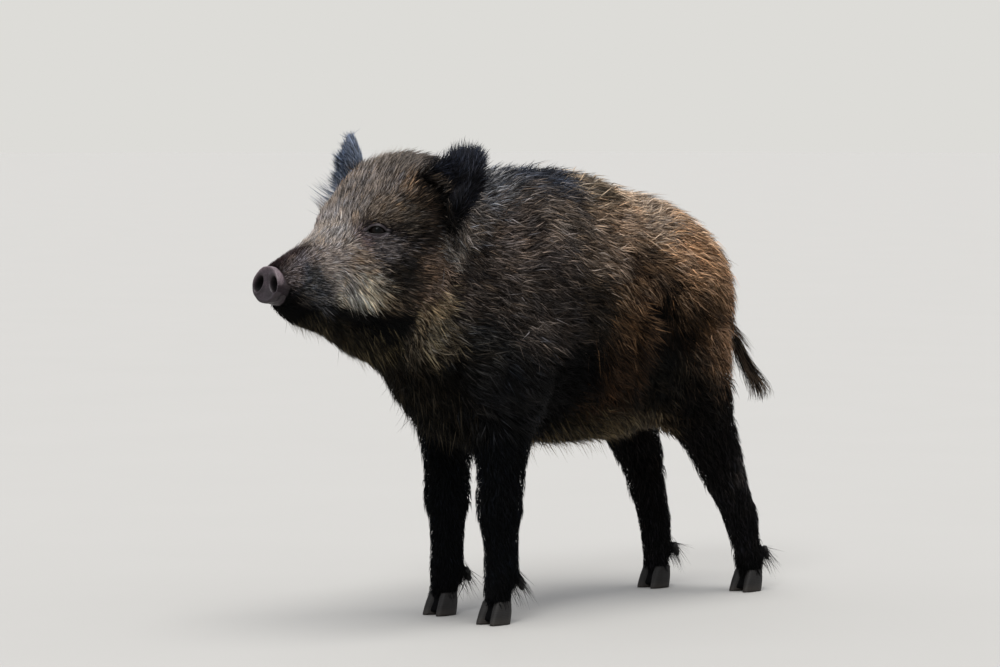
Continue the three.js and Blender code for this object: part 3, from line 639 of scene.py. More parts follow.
eyeBalls = {side: eyeSeat(side, flip) for side, flip in sides}
for ball, radius, gaze, along, upward in eyeBalls.values():
    local = points - ball
    gap = np.hypot(local @ along, local @ upward)
    mine = (gap < eyeShape["reach"]) & (local @ gaze > eyeShape["behind"])
    local, gap = local[mine], gap[mine]
    h = local @ gaze
    u, w = local @ along + eyeShape["ahead"], local @ upward - eyeShape["drop"]
    top, bottom, fold, tear, crease = lidLines(u)
    past = np.maximum(np.abs(u) - eyeShape["half"], 0)
    edge = np.maximum(w - top, bottom - w)
    edge = np.where(past > 0, np.hypot(np.maximum(edge, 0), past), edge)
    lidBall = np.sqrt(np.maximum((radius + eyeShape["lid"]) ** 2 - gap ** 2, 0))
    blend = np.clip(0.5 + (lidBall - h) / (4 * eyeShape["soft"]), 0, 1)  # the higher of lid and face, eased
    face = h + (lidBall - h) * blend + eyeShape["soft"] * blend * (1 - blend) * 2
    folding = ease(19 * mm, 12 * mm, np.abs(u))
    grooves = (  # line, depth (a ridge where below 0), width, stretch
        (fold, 1.5, 1.0, folding),
        (fold + 2.8 * mm, -1.3, 2.2, folding),
        (bottom - 3.6 * mm - 0.06 * u, 0.8, 0.9, ease(15 * mm, 9 * mm, np.abs(u + 2 * mm))),
        (bottom - 7.5 * mm - 0.1 * u, 0.8, 1.2, ease(15 * mm, 8 * mm, np.abs(u - 3 * mm))),
        (crease, 1.6, 1.3, ease(9 * mm, 14 * mm, u) * ease(33 * mm, 22 * mm, u)),
        (tear, 1.3, 1.1, ease(-9 * mm, -14 * mm, u) * ease(-24 * mm, -17 * mm, u)),
    )
    for line, deep, wide, stretch in grooves:
        face = face - deep * mm * hump(w - line, wide * mm) * stretch
    face = face + eyeShape["rim"] * hump(edge - 0.9 * mm, 0.9 * mm)
    ballTop = np.sqrt(np.maximum(radius ** 2 - gap ** 2, 0))
    inside = np.maximum(ballTop - 1.6 * mm, h - 3.2 * mm)
    inside = np.where(gap < radius * 0.97, np.minimum(inside, ballTop - 0.5 * mm), inside)
    opened = ease(0.25 * mm, -0.55 * mm, edge)
    target = face * (1 - opened) + inside * opened
    fade = ease(32 * mm, 22 * mm, gap) * ease(eyeShape["behind"], 2 * mm, h)
    points[mine] += gaze * ((target - h) * fade)[:, None]

# the snout disc: a dished plate with a rolled rim, two nostrils, a groove, and wrinkles behind it
discShape = {"tilt": 0.16, "reach": 34 * mm, "back": -24 * mm, "rim": 23.5 * mm, "roll": 1.6 * mm,
             "apart": 14.2 * mm, "wide": 8.0 * mm, "tall": 10.2 * mm, "deep": 15 * mm, "lip": 1.2 * mm,
             "dish": 1.2 * mm, "groove": 1.0 * mm, "crown": 2.6 * mm, "sink": 1.6 * mm, "neck": 1.8 * mm,
             "wrinkle": 0.45 * mm, "wave": 1.35 * mm}
ahead = np.array((0, -math.cos(discShape["tilt"]), math.sin(discShape["tilt"])))
lift = np.array((0, math.sin(discShape["tilt"]), math.cos(discShape["tilt"])))
plateTop = float((places(nodes["snout_disc"].data) @ ahead).max())
plateHeight = float(np.array(discCentre) @ lift)
a, b, c = points[:, 0], points @ lift - plateHeight, points @ ahead - plateTop  # aside, up, out of the plate
around = np.hypot(a, b)
onDisc = (around < discShape["reach"]) & (c > discShape["back"])
holeA = (np.abs(a) - discShape["apart"]) / discShape["wide"]
holeB = (b - 0.5 * mm + 1.2 * mm * holeA) / discShape["tall"]
hole = np.hypot(holeA, holeB) + 0.16 * holeA * holeB  # 1 at a nostril's edge
inHole = ease(1.08, 0.8, hole)
target = -discShape["crown"] * ease(21 * mm, 28 * mm, around)
target += discShape["roll"] * hump(around - discShape["rim"], 2.6 * mm)
target += discShape["lip"] * hump(hole - 1.3, 0.22)
target -= discShape["dish"] * hump(b - 1 * mm, 9 * mm) * hump(a, 6 * mm)
target -= discShape["groove"] * hump(a, 1.3 * mm) * ease(0, 10 * mm, b) + discShape["sink"]
target = target * (1 - inHole) - discShape["deep"] * (0.35 + 0.65 * ease(1.0, 0.3, hole)) * inHole
flat = ease(29 * mm, 24 * mm, around) * ease(-9 * mm, -4 * mm, c)
flat = np.where(hole < 1.25, 1.0 * (c > -22 * mm), flat)
points += ahead * np.where(onDisc, (target - c) * flat, 0)[:, None]
neckIn = np.where(onDisc, hump(c + 12 * mm, 3.0 * mm), 0) * ease(15 * mm, 22 * mm, around) * discShape["neck"]
points[:, 0] -= a / np.maximum(around, 1e-6) * neckIn
points -= lift * (b / np.maximum(around, 1e-6) * neckIn)[:, None]
setPlaces(skin, points)
way = outward(skin)
backOf = points[:, 1] - cadLow.y
overNose = ease(24 * mm, 30 * mm, backOf) * ease(62 * mm, 44 * mm, backOf)
overNose *= ease(465 * mm, 490 * mm, points[:, 2]) * (np.abs(points[:, 0]) < 60 * mm)
wrinkle = np.sin((backOf + 6 * mm * np.cos(points[:, 0] / (16 * mm))) / discShape["wave"])
points += way * (overNose * wrinkle * discShape["wrinkle"])[:, None]

# the mouth: a slit under the muzzle, from behind the disc to below the cheek
mouth = {"back": 31.0 * mm, "up": 450.0 * mm, "fall": 0.1, "deep": 3.0 * mm, "wide": 2.2 * mm,
         "lips": 0.8 * mm, "apart": 5 * mm}
line = points[:, 2] - (mouth["up"] - mouth["fall"] * (backOf - mouth["back"]))
run = ease(26 * mm, 36 * mm, backOf) * ease(140 * mm, 118 * mm, backOf)
points -= way * (run * hump(line, mouth["wide"]) * mouth["deep"])[:, None]
lips = hump(line - mouth["apart"], 3 * mm) + hump(line + mouth["apart"], 3 * mm)
points += way * (run * lips * mouth["lips"])[:, None]
setPlaces(skin, points)
print("lids, disc, nostrils and mouth are cut")

# markings of the skin, with painted shade under the coat, in the nostrils, on the disc's lower part, in the
# eye's creases and along the mouth, and a painted highlight on the disc's upper rim
# tones of the disc's plate, its paler worn rim (partly wear, partly painted highlight), the lids and their
# margins
markTones = {"plate": (48, 40, 44), "worn": (146, 130, 134), "lid": (52, 44, 47), "margin": (12, 9, 9)}


def laid(under, colour, share):
    return under * (1 - share[:, None]) + np.array(colour) * share[:, None]


kind = labels(points)
marks = read(points, coatMap, 6 * mm)
for side, table in earMaps.items():
    mine, earMarks = kind == "ear_" + side, read(points, table, 3 * mm)
    for key in ("root", "tip", "share"):
        marks[key][mine] = earMarks[key][mine]
# the skin under the coat, at 0.6 of the roots' tone: partly its own dark colour, partly painted shade under
# the hair
tint = marks["root"] * 0.6 + marks["tip"] * 0.1 * marks["share"][:, None]
bare = relax((kind == "snout_disc") * 1.0, edges, 3)  # where no hair grows
mottle = 1 + 0.24 * waves(points, 6 * mm, 3) + 0.1 * waves(points, 2 * mm, 4)
# the disc's paler upper rim: partly wear, partly a painted highlight from above
worn = ease(18 * mm, 26 * mm, around) * ease(-10 * mm, 14 * mm, b) * (c > -12 * mm)
plate = laid(np.array(tone(*markTones["plate"])) * mottle[:, None], tone(*markTones["worn"]), 0.45 * worn)
# the disc made darker towards its bottom: painted shade
plate *= (1 - 0.45 * ease(10 * mm, -24 * mm, b) * (c > -20 * mm))[:, None]
tint = laid(tint, plate, bare)
# the nostrils made nearly black inside: painted shade
tint *= (1 - 0.93 * np.where(onDisc, inHole, 0))[:, None]
for ball, radius, gaze, along, upward in eyeBalls.values():
    local = points - ball
    u, w = local @ along + eyeShape["ahead"], local @ upward - eyeShape["drop"]
    mine = local @ gaze > 0
    top, bottom, fold, tear, crease = lidLines(u)
    edge = np.maximum(w - top, bottom - w) + np.maximum(np.abs(u) - eyeShape["half"], 0) * 0.6
    lidArea = ease(8 * mm, 3.5 * mm, edge) * ease(22 * mm, 15 * mm, np.abs(u)) * mine
    tint = laid(tint, tone(*markTones["lid"]), 0.85 * lidArea)
    margin = ease(2.2 * mm, 0.7 * mm, edge) * (np.abs(u) < 18 * mm) * mine
    tint = laid(tint, tone(*markTones["margin"]), 0.85 * margin)
    # over, corner and outer: painted shade in the fold above the eye, the tear groove and the outer crease
    over = hump(w - fold, 1.3 * mm) * ease(18 * mm, 12 * mm, np.abs(u))
    corner = hump(w - tear, 2.0 * mm) * ease(-10 * mm, -14 * mm, u) * ease(-30 * mm, -22 * mm, u)
    outer = hump(w - crease, 2.0 * mm) * ease(10 * mm, 15 * mm, u) * ease(34 * mm, 22 * mm, u)
    tint *= (1 - 0.84 * np.clip(1.3 * over + 1.4 * corner + 1.2 * outer, 0, 1) * mine)[:, None]
    bare = np.maximum(bare, np.maximum(lidArea, corner * mine))
# painted shade along the mouth slit
tint *= (1 - 0.7 * run * hump(line, 2.5 * mm))[:, None]
paint(skin, "tint", tint)
paint(skin, "bare", bare)

skinLook = {"pores": 470.0, "folds": 160.0, "fine": 900.0, "rough": 0.62, "wet": 0.5, "wetRough": 0.38}
bench = Bench("skinFinish")
pores = bench.cells(skinLook["pores"])
folds = bench.noise(skinLook["folds"], 4.0, 0.6)
fine = bench.noise(skinLook["fine"], 3.0, 0.6)
bareness = bench.level("bare")
colour = bench.times(bench.tint(), 0.78 + folds * 0.3 + fine * 0.16)
colour = bench.times(colour, 1.2 - (1.0 - pores.between(0.0, 0.55)) * bareness * 0.75)
height = bench.bump(pores, 0.6, 0.9 * mm)
height = bench.bump(folds, 0.5, 1.2 * mm, height)
rough = (skinLook["rough"] - bareness * 0.14 + fine * 0.12).kept()
dress(skin, bench.finish(colour=colour, rough=rough, normal=height, gloss=0.05,
                         coat=bareness * skinLook["wet"], coatRough=skinLook["wetRough"]))
skinPiece = link("skin", skin)
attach(skinPiece, "root")
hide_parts(*fleshNames)
print("skin is painted")

# the coat
skin.calc_loop_triangles()
triangles = fetched(skin.loop_triangles, "vertices", 3, np.int64)
skinPoints = places(skin)
skinWays = unit(relax(outward(skin), edges, 2))
skinTree = BVHTree.FromPolygons([tuple(p) for p in skinPoints], [tuple(t) for t in triangles])
middles = skinPoints[triangles].mean(1)
kindOf = labels(middles)

bench = Bench("coatFinish")
strand = bench.noise(700.0, 2.0)
coatFinish = bench.finish(colour=bench.times(bench.tint(), 0.8 + strand * 0.4), rough=0.6, gloss=0.06)
patchSize = 0.003  # a tuft's own patch of the bake map


def unwrapped(faces):  # the corners' places on an unwrap of these faces of the skin
    used, spots = np.unique(faces, return_inverse=True)
    mesh = bpy.data.meshes.new("unwrap")
    mesh.from_pydata([tuple(p) for p in skinPoints[used]], [], [tuple(f) for f in spots.reshape(-1, 3)])
    item = link("unwrap", mesh)
    bpy.ops.object.select_all(action="DESELECT")
    item.select_set(True)
    bpy.context.view_layer.objects.active = item
    bpy.ops.object.mode_set(mode="EDIT")
    bpy.ops.mesh.select_all(action="SELECT")
    bpy.ops.uv.smart_project(angle_limit=math.radians(66), island_margin=0.004)
    bpy.ops.object.mode_set(mode="OBJECT")
    found = fetched(mesh.uv_layers.active.data, "uv", 2)
    bpy.data.objects.remove(item)
    bpy.data.meshes.remove(mesh)
    return found.reshape(-1, 3, 2)


def areas(faces):
    a, b, c = skinPoints[faces].transpose(1, 0, 2)
    return np.linalg.norm(np.cross(b - a, c - a), axis=1) / 2


def scatter(faces, corners, spacing):  # roots spread evenly over the faces, a given spacing apart
    total = np.cumsum(areas(faces) / spacing ** 2)
    count = int(total[-1])
    pick = np.searchsorted(total, (np.arange(count) + dice.random(count)) * total[-1] / count)
    pick = np.minimum(pick, len(faces) - 1)
    r, s = np.sqrt(dice.random(count)), dice.random(count)
    share = np.stack([1 - r, r * (1 - s), r * s], 1)
    root, way, spot = ((values * share[..., None]).sum(1) for values in (
        skinPoints[faces[pick]], skinWays[faces[pick]], corners[pick]))
    return root, unit(way), spot, pick


def settle(points, ways, cling):  # brings points down to the skin: nearest place and the way out from it
    found = [skinTree.find_nearest(Vector(p))[:2] for p in points]
    low, out = np.array([spot for spot, _ in found]), np.array([normal for _, normal in found])
    return points + (low - points) * cling, unit(ways + (out - ways) * cling)


def tuftFaces(rings):  # one tuft's faces, and their corners on its own small patch of the bake map
    last = 3 * rings + 1
    faces, marks = [], []
    for j in range(3):
        i, near, far = (j + 1) % 3, j / 3, (j + 1) / 3
        faces.append((0, 1 + j, 1 + i))
        marks += [((near + far) / 2, 0), (near, 0.2), (far, 0.2)]
        for k in range(rings - 1):
            low, high = 0.2 + 0.6 * k / rings, 0.2 + 0.6 * (k + 1) / rings
            faces.append((1 + 3 * k + i, 1 + 3 * k + j, 4 + 3 * k + j, 4 + 3 * k + i))
            marks += [(far, low), (near, low), (near, high), (far, high)]
        faces.append((last - 3 + i, last - 3 + j, last))
        marks += [(far, 0.8), (near, 0.8), ((near + far) / 2, 1)]
    return faces, np.array(marks) - 0.5


def growTufts(name, root, middle, tip, side, width, rootTone, tipTone, spot, rings):
    # each tuft is a closed three-sided spindle, bent through root, middle and tip
    count = len(root)
    rows, tones = [root], [rootTone]
    for step in (np.arange(rings) + 0.75) / (rings + 0.85):
        here = root * (1 - step) * (1 - 2 * step) + middle * 4 * step * (1 - step)
        here = here + tip * step * (2 * step - 1)
        ahead = unit(root * (4 * step - 3) + middle * (4 - 8 * step) + tip * (4 * step - 1))
        across = unit(side - ahead * (side * ahead).sum(1)[:, None])
        above = np.cross(across, ahead)
        size = width * (1.1 - 0.6 * step)
        for angle in np.radians((90, 210, 330)):
            rows.append(here + across * (size * 0.55 * math.cos(angle))[:, None]
                        + above * (size * 0.42 * math.sin(angle))[:, None])
            tones.append(rootTone + (tipTone - rootTone) * ease(*coatStyle["turn"], step))
    rows.append(tip)
    tones.append(tipTone)
    faces, patch = tuftFaces(rings)
    corners = np.array([v for f in faces for v in f])
    allCorners = (corners[None] + len(rows) * np.arange(count)[:, None]).ravel()
    allSizes = np.tile([len(f) for f in faces], count)
    mesh = bpy.data.meshes.new(name)
    mesh.vertices.add(count * len(rows))
    mesh.vertices.foreach_set("co", np.stack(rows, 1).astype(np.float32).ravel())
    mesh.loops.add(len(allCorners))
    mesh.loops.foreach_set("vertex_index", allCorners.astype(np.int32))
    mesh.polygons.add(len(allSizes))
    mesh.polygons.foreach_set("loop_start", (np.cumsum(allSizes) - allSizes).astype(np.int32))
    mesh.update(calc_edges=True)
    setBakeMap(mesh, np.repeat(spot, len(corners), 0) + np.tile(patch, (count, 1)) * patchSize)
    paint(mesh, "tint", np.stack(tones, 1).reshape(-1, 3))
    dress(mesh, coatFinish)
    return mesh


coatStyle = {
    "fine": 0.0544, "thick": 1.3 * mm, "thin": 0.6 * mm, "buried": 0.8 * mm,  # width: share of length, limits
    "uneven": 0.22, "jitter": 0.24, "swirl": 0.3, "straight": 0.5,  # how the lengths and the lie vary
    "light": 0.46, "clump": 0.34, "limits": (0.35, 2.1), "hue": 0.05, "mottle": 0.2,  # how the tones vary
    "stray": 0.22, "warp": 8 * mm, "turn": (0.1, 0.62),  # edges of the markings, and of a tip's own tone
    "cell": (8 * mm, 10 * mm), "pull": 0.55, "drift": 2.0 * mm,  # size and tightness of the locks
}


def drawnToLocks(tip, root, lie, length, lock):  # tips drawn to shared points, and each tuft's lock
    cell = coatStyle["cell"][0] + coatStyle["cell"][1] * lock
    cells = np.floor((root + 0.5 * lie * length[:, None]) / cell[:, None] + waves(root, 20 * mm, 5)[:, None])
    primes = np.array([73856093, 19349663, 83492791])  # so that each cell gets a number of its own
    _, group = np.unique(cells.astype(np.int64) @ primes, return_inverse=True)
    groups = group.max() + 1
    shared = np.stack([np.bincount(group, column, groups) for column in tip.T], 1)
    shared /= np.bincount(group, minlength=groups)[:, None]
    drift = dice.normal(size=(groups, 3)) * coatStyle["drift"]
    pull = np.clip(coatStyle["pull"] * lock + 0.1 * dice.normal(size=len(tip)), 0, 0.8)
    return tip + (shared[group] + drift[group] - tip) * pull[:, None], group


def tuftTones(root, look, lock, shaggy, group):  # each tuft's tones at its root and at its tip
    count, groups = len(root), group.max() + 1
    light = coatStyle["light"] * dice.normal(size=count)
    light = np.exp(light + coatStyle["clump"] * lock * dice.normal(size=groups)[group])
    mottle = waves(root, 30 * mm, 51) + 0.8 * waves(root, 12 * mm, 52)
    light = np.clip(light * np.exp(coatStyle["mottle"] * shaggy[:, 0] * mottle), *coatStyle["limits"])
    warm = coatStyle["hue"] * (dice.normal(size=groups)[group] * 0.8 + dice.normal(size=count) * 0.6)
    light = light[:, None] * np.exp(warm[:, None] * (1.0, 0.0, -1.4))
    tipped = dice.random(count) < look["share"]
    tipTone = np.where(tipped[:, None], look["tip"], look["root"] * 1.25 + look["tip"] * 0.12) * light
    # the roots' own dark tone, darkened further by 0.55 to 0.8 as painted shade deep in the coat
    rootTone = look["root"] * (0.55 + 0.25 * dice.random(count))[:, None]
    return rootTone, tipTone


def coatPiece(name, mask, table, scale=1.0, cling=1.0, thin=1.0, slotName="back"):
    faces = triangles[mask]
    corners = unwrapped(faces)
    spacing = read(skinPoints[faces].mean(1), table)["spacing"] * scale
    root, way, spot, pick = scatter(faces, corners, spacing)
    if slotName == "face":  # none on the disc, on the lids or over the eye
        clear = bare[faces[pick]].mean(1) < 0.5 * dice.random(len(root)) + 0.2
        root, way, spot = root[clear], way[clear], spot[clear]
    count = len(root)
    sheet = read(root, table)
    lock, standing = sheet["lock"], sheet["standing"]
    strayed = dice.normal(size=(count, 3)) * (2 * mm + coatStyle["stray"] * sheet["length"])[:, None]
    look = read(root + strayed, table, coatStyle["warp"])
    shaggy = (0.45 + 0.8 * lock)[:, None] * (coatStyle["straight"] if slotName == "face" else 1.0)
    lie = sheet["lie"] + coatStyle["jitter"] * shaggy * dice.normal(size=(count, 3))
    swirl = drifts(root, 50 * mm, 21) * 0.55 + drifts(root, 17 * mm, 24) * 0.5
    lie = lie + swirl * coatStyle["swirl"] * shaggy
    lie = unit(lie - way * (lie * way).sum(1)[:, None])
    length = sheet["length"] * np.clip(1 + coatStyle["uneven"] * dice.normal(size=count), 0.5, 1.6)
    spread = 0.16 + 0.4 * standing
    tipLift = sheet["depth"] * np.clip(0.8 + spread * dice.normal(size=count), 0.2, 1.7)
    low, out = settle(root + lie * (length * 0.97)[:, None], way, cling)
    tip, group = drawnToLocks(low + out * tipLift[:, None], root, lie, length, lock)
    side = np.cross(lie, way)
    middle = (root + tip) / 2 + way * (tipLift * (0.46 - 0.3 * standing))[:, None]
    sway = (waves(root, 12 * mm, 31) * lock * 0.1 + 0.05 * dice.normal(size=count)) * length
    middle = middle + side * sway[:, None]
    root = root - way * coatStyle["buried"]
    width = np.clip(coatStyle["fine"] * length, coatStyle["thin"], coatStyle["thick"])
    width = width * thin * np.clip(1 + 0.25 * dice.normal(size=count), 0.5, 1.6)
    rootTone, tipTone = tuftTones(root, look, lock, shaggy, group)
    mesh = growTufts(name, root, middle, tip, side, width, rootTone, tipTone, spot, 1)
    piece = link(name, mesh)
    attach(piece, "root")
    print(name, count, "tufts,", len(mesh.polygons), "triangles")


left = middles[:, 0] >= 0
fromSnout = middles[:, 1] - cadLow.y
onHead = np.isin(kindOf, ["head", "lower_jaw"])
isFace, isFore = fromSnout < 160 * mm, fromSnout < 560 * mm
onNeck, onTrunk, onTail = (kindOf == name for name in ("neck", "trunk", "tail"))
onHorn = np.zeros(len(middles), bool)
for name in hornNames:
    onHorn |= (kindOf == name) & (("hoof" in name) | inHorn(name, middles))
onForeleg, onHindleg = (np.char.startswith(kindOf, name) & ~onHorn for name in ("foreleg", "hindleg"))
for side, half in (("left", left), ("right", ~left)):
    onThisEar = kindOf == "ear_" + side
    coatPiece("face_fur_" + side, onHead & half & isFace, coatMap, 0.6, thin=0.8, slotName="face")
    coatPiece("cheek_fur_" + side, onHead & half & ~isFace, coatMap, 0.62, thin=0.85, slotName="face")
    coatPiece("neck_coat_" + side, onNeck & half, coatMap, 0.56)
    coatPiece("fore_coat_" + side, onTrunk & half & isFore, coatMap, 0.56)
    coatPiece("rear_coat_" + side, onTrunk & half & ~isFore, coatMap, 0.57)
    coatPiece("ear_fur_" + side, onThisEar, earMaps[side], 0.8, cling=0.0, thin=0.8, slotName="limb")
coatPiece("foreleg_fur", onForeleg, coatMap, 1.0, thin=1.2, slotName="limb")
coatPiece("hindleg_fur", onHindleg, coatMap, 1.02, thin=1.2, slotName="limb")
coatPiece("tail_fur", onTail, tailMap, 0.6, slotName="limb")

# bristles and whiskers: stiff single hairs, each zone by its place (out, back, up in mm), reach,
# side (1 is left, -1 right, 0 both), number, lie, length and tone
bristleZones = dict(
    chin=((0, 78, 418), 34, 0, 200, (0, .45, -.85), 20, (74, 66, 50)),
    lip=((32, 44, 452), 16, 0, 60, (.8, .5, -.3), 15, (84, 78, 72)),
    jaw=((30, 165, 385), 46, 0, 250, (0, .6, -.75), 25, (98, 88, 66)),
    brow=((52, 150, 566), 12, 0, 34, (.45, .1, .85), 24, (130, 118, 106)),
    noseTop=((8, 50, 515), 18, 0, 160, (0, .5, .85), 7, (60, 44, 40)),
    nose=((8, 92, 540), 26, 0, 120, (0, .4, .9), 10, (140, 128, 118)),
    forehead=((12, 160, 594), 34, 0, 260, (.05, .45, .85), 14, (164, 153, 144)),
    crown=((20, 222, 636), 40, 0, 520, (.1, .5, .85), 17, (146, 135, 126)),
    crest=((14, 360, 622), 90, 0, 340, (.05, .88, .42), 27, (120, 118, 122)),
    # withers: the bluish tone is a painted sheen
    withers=((14, 500, 622), 80, 0, 250, (.05, .94, .22), 30, (104, 107, 117)),
    rump=((20, 760, 580), 120, 0, 160, (.05, .9, -.1), 24, (176, 144, 116)),
    throat=((64, 258, 402), 34, 0, 220, (.15, .6, -.75), 32, (150, 136, 108)),
    chest=((20, 300, 300), 60, 0, 170, (.05, .25, -.92), 34, (58, 52, 42)),
    belly=((10, 560, 236), 90, 0, 240, (.05, .6, -.75), 34, (110, 96, 70)),
    tailRoot=((30, 925, 410), 34, 0, 120, (.08, .34, -.94), 48, (58, 44, 34)),
    foreHeel=((64, 408, 66), 20, 1, 150, (0, .4, -.9), 30, (15, 14, 14)),
    foreHeelFar=((64, 438, 66), 20, -1, 150, (0, .4, -.9), 30, (15, 14, 14)),
    hindHeel=((64, 932, 66), 20, 1, 150, (0, .4, -.9), 30, (15, 14, 14)),
    hindHeelFar=((64, 880, 66), 20, -1, 150, (0, .4, -.9), 30, (15, 14, 14)),
    # farEar: the bluish tone is a painted sheen on the lit, standing ear
    farEar=((76, 214, 572), 24, -1, 130, (.75, -.45, .45), 34, (92, 100, 116)),
)
bristleShape = {"Thickness": 0.36 * mm, "Droop": 0.16, "Uneven": 0.35, "Seed": 12}
bristleStyle = {"lift": 0.25, "least": 0.18, "jitter": 0.17, "through": 0.4, "buried": 0.5 * mm, "light": 0.3}


def bristleTree():  # a tapered, drooping spike on each point, turned and sized by the point's own values
    tree = bpy.data.node_groups.new("bristles", "GeometryNodeTree")
    bench, sockets = Bench("bristles", tree), {}
    tree.interface.new_socket("Geometry", in_out="INPUT", socket_type="NodeSocketGeometry")
    for label in bristleShape:
        kind = "NodeSocketInt" if label == "Seed" else "NodeSocketFloat"
        sockets[label] = tree.interface.new_socket(label, in_out="INPUT", socket_type=kind).identifier
    tree.interface.new_socket("Geometry", in_out="OUTPUT", socket_type="NodeSocketGeometry")
    given = {socket.name: Wire(bench, socket) for socket in tree.nodes.new("NodeGroupInput").outputs}
    stored = "GeometryNodeInputNamedAttribute"
    long = bench.add(stored, {"data_type": "FLOAT"}, {"Name": "long"}, "Attribute")
    way = bench.add(stored, {"data_type": "FLOAT_VECTOR"}, {"Name": "way"}, "Attribute")
    spike = bench.add("GeometryNodeMeshCone", {"fill_type": "TRIANGLE_FAN"}, {
        "Vertices": 3, "Side Segments": 3, "Fill Segments": 1, "Radius Top": 0.0, "Radius Bottom": 1.0,
        "Depth": 1.0}, "Mesh")
    x, y, z = bench.parts(bench.add("GeometryNodeInputPosition"))
    thin = given["Thickness"] / 0.03  # for a hair about 30 mm long
    shaped = bench.add("ShaderNodeCombineXYZ", {}, {0: x * thin + z * z * given["Droop"], 1: y * thin, 2: z})
    spike = bench.add("GeometryNodeSetPosition", {}, {"Geometry": spike, "Position": shaped})
    turn = bench.add("FunctionNodeAlignRotationToVector", {"axis": "Z"}, {"Vector": way})
    varied = bench.add("FunctionNodeRandomValue", {"data_type": "FLOAT"},
                       {"Min": -1.0, "Max": 1.0, "Seed": given["Seed"]}, "Value")
    size = long * varied.sum("MULTIPLY_ADD", varied, given["Uneven"], 1.0)
    planted = bench.add("GeometryNodeInstanceOnPoints", {}, {"Points": given["Geometry"], "Instance": spike,
                                                             "Rotation": turn, "Scale": size})
    real = bench.add("GeometryNodeRealizeInstances", {}, {"Geometry": planted})
    done = bench.add("GeometryNodeSetMaterial", {}, {"Geometry": real, "Material": coatFinish})
    tree.links.new(done.socket, tree.nodes.new("NodeGroupOutput").inputs[0])
    return tree, sockets


foldedMiddles = folded(middles)
hairy = ~np.char.startswith(kindOf, "ear") & (kindOf != "snout_disc")
zoneMasks = {}
for name, (centre, reach, onSide, *_) in bristleZones.items():
    near = np.linalg.norm(foldedMiddles - np.array(centre) * mm, axis=1) < reach * mm
    zoneMasks[name] = near & (middles[:, 0] * onSide >= 0) & hairy
held = np.any(list(zoneMasks.values()), axis=0)
heldCorners = unwrapped(triangles[held])
rank = np.cumsum(held) - 1
planted = []
for name, (centre, reach, onSide, number, lie, length, colour) in bristleZones.items():
    mask = zoneMasks[name]
    faces = triangles[mask]
    root, way, spot, _ = scatter(faces, heldCorners[rank[mask]], math.sqrt(areas(faces).sum() / number))
    flow = unit(np.array(lie) * sided(root)) + way * bristleStyle["lift"]
    flow = flow + bristleStyle["jitter"] * dice.normal(size=(len(root), 3))
    flow = unit(flow + way * np.maximum(bristleStyle["least"] - (flow * way).sum(1), 0)[:, None])
    hidden = read(root, coatMap)["depth"] * bristleStyle["through"]
    light = np.exp(bristleStyle["light"] * dice.normal(size=len(root)))
    planted.append((root - way * bristleStyle["buried"], flow, length * mm + hidden,
                    np.array(tone(*colour)) * light[:, None], spot))
roots, ways, longs, tints, spots = (np.concatenate(values) for values in zip(*planted))
base = bpy.data.meshes.new("bristleRoots")
base.from_pydata([tuple(p) for p in roots], [], [])
paint(base, "way", ways, "FLOAT_VECTOR")
paint(base, "long", longs)
paint(base, "tint", tints)
paint(base, "spot", np.concatenate([spots, np.zeros((len(spots), 1))], 1), "FLOAT_VECTOR")
item = link("bristleRoots", base)
grow = item.modifiers.new("bristles", "NODES")
grow.node_group, sockets = bristleTree()
for label, value in bristleShape.items():
    grow[sockets[label]] = value
mesh = plainMesh(item)
each = len(mesh.vertices) // len(roots)
order = np.arange(len(mesh.vertices))
patch = np.stack([order % 3 / 3, order % each / each], 1) - 0.5
patch = fetched(mesh.attributes["spot"].data, "vector", 3)[:, :2] + patch * patchSize
setBakeMap(mesh, patch[fetched(mesh.loops, "vertex_index", 1, np.int64)[:, 0]])
for name in ("spot", "way", "long"):
    mesh.attributes.remove(mesh.attributes[name])
dress(mesh, coatFinish)
bristles = link("bristles", mesh)
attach(bristles, "root")
print("bristles", len(roots), "hairs,", len(mesh.polygons), "faces", each, "points each")

# the tail's brush
brushStyle = {"count": 560, "reach": 0.55, "core": 3.0 * mm, "flare": 24 * mm, "width": 0.8 * mm, "levels": 8,
              "root": (6, 5, 5), "dark": (20, 17, 15), "pale": (96, 82, 68), "share": 0.35, "light": 0.25}
brush = places(nodes["tail_brush"].data)
low, high = brush[:, 2].min(), brush[:, 2].max()
levels = np.linspace(high, low, brushStyle["levels"])[:-1]
core = [brush[np.abs(brush[:, 2] - level) < (high - low) * 0.2].mean(0) for level in levels]
core = np.array(core + [brush[brush[:, 2].argmin()]])
count = brushStyle["count"]
start = dice.random(count) * 0.85 - 0.22
end = start + brushStyle["reach"] * (0.6 + 0.8 * dice.random(count))
knots = np.linspace(0, 1, len(core))


def alongCore(part):  # a place on the tail's middle line, carried straight on past both ends
    here = np.stack([np.interp(part, knots, core[:, k]) for k in range(3)], 1)
    before, after = np.maximum(-part, 0)[:, None], np.clip(part - 1, 0, 0.12)[:, None]
    return here + ((core[0] - core[1]) * before + (core[-1] - core[-2]) * after) * (len(core) - 1)


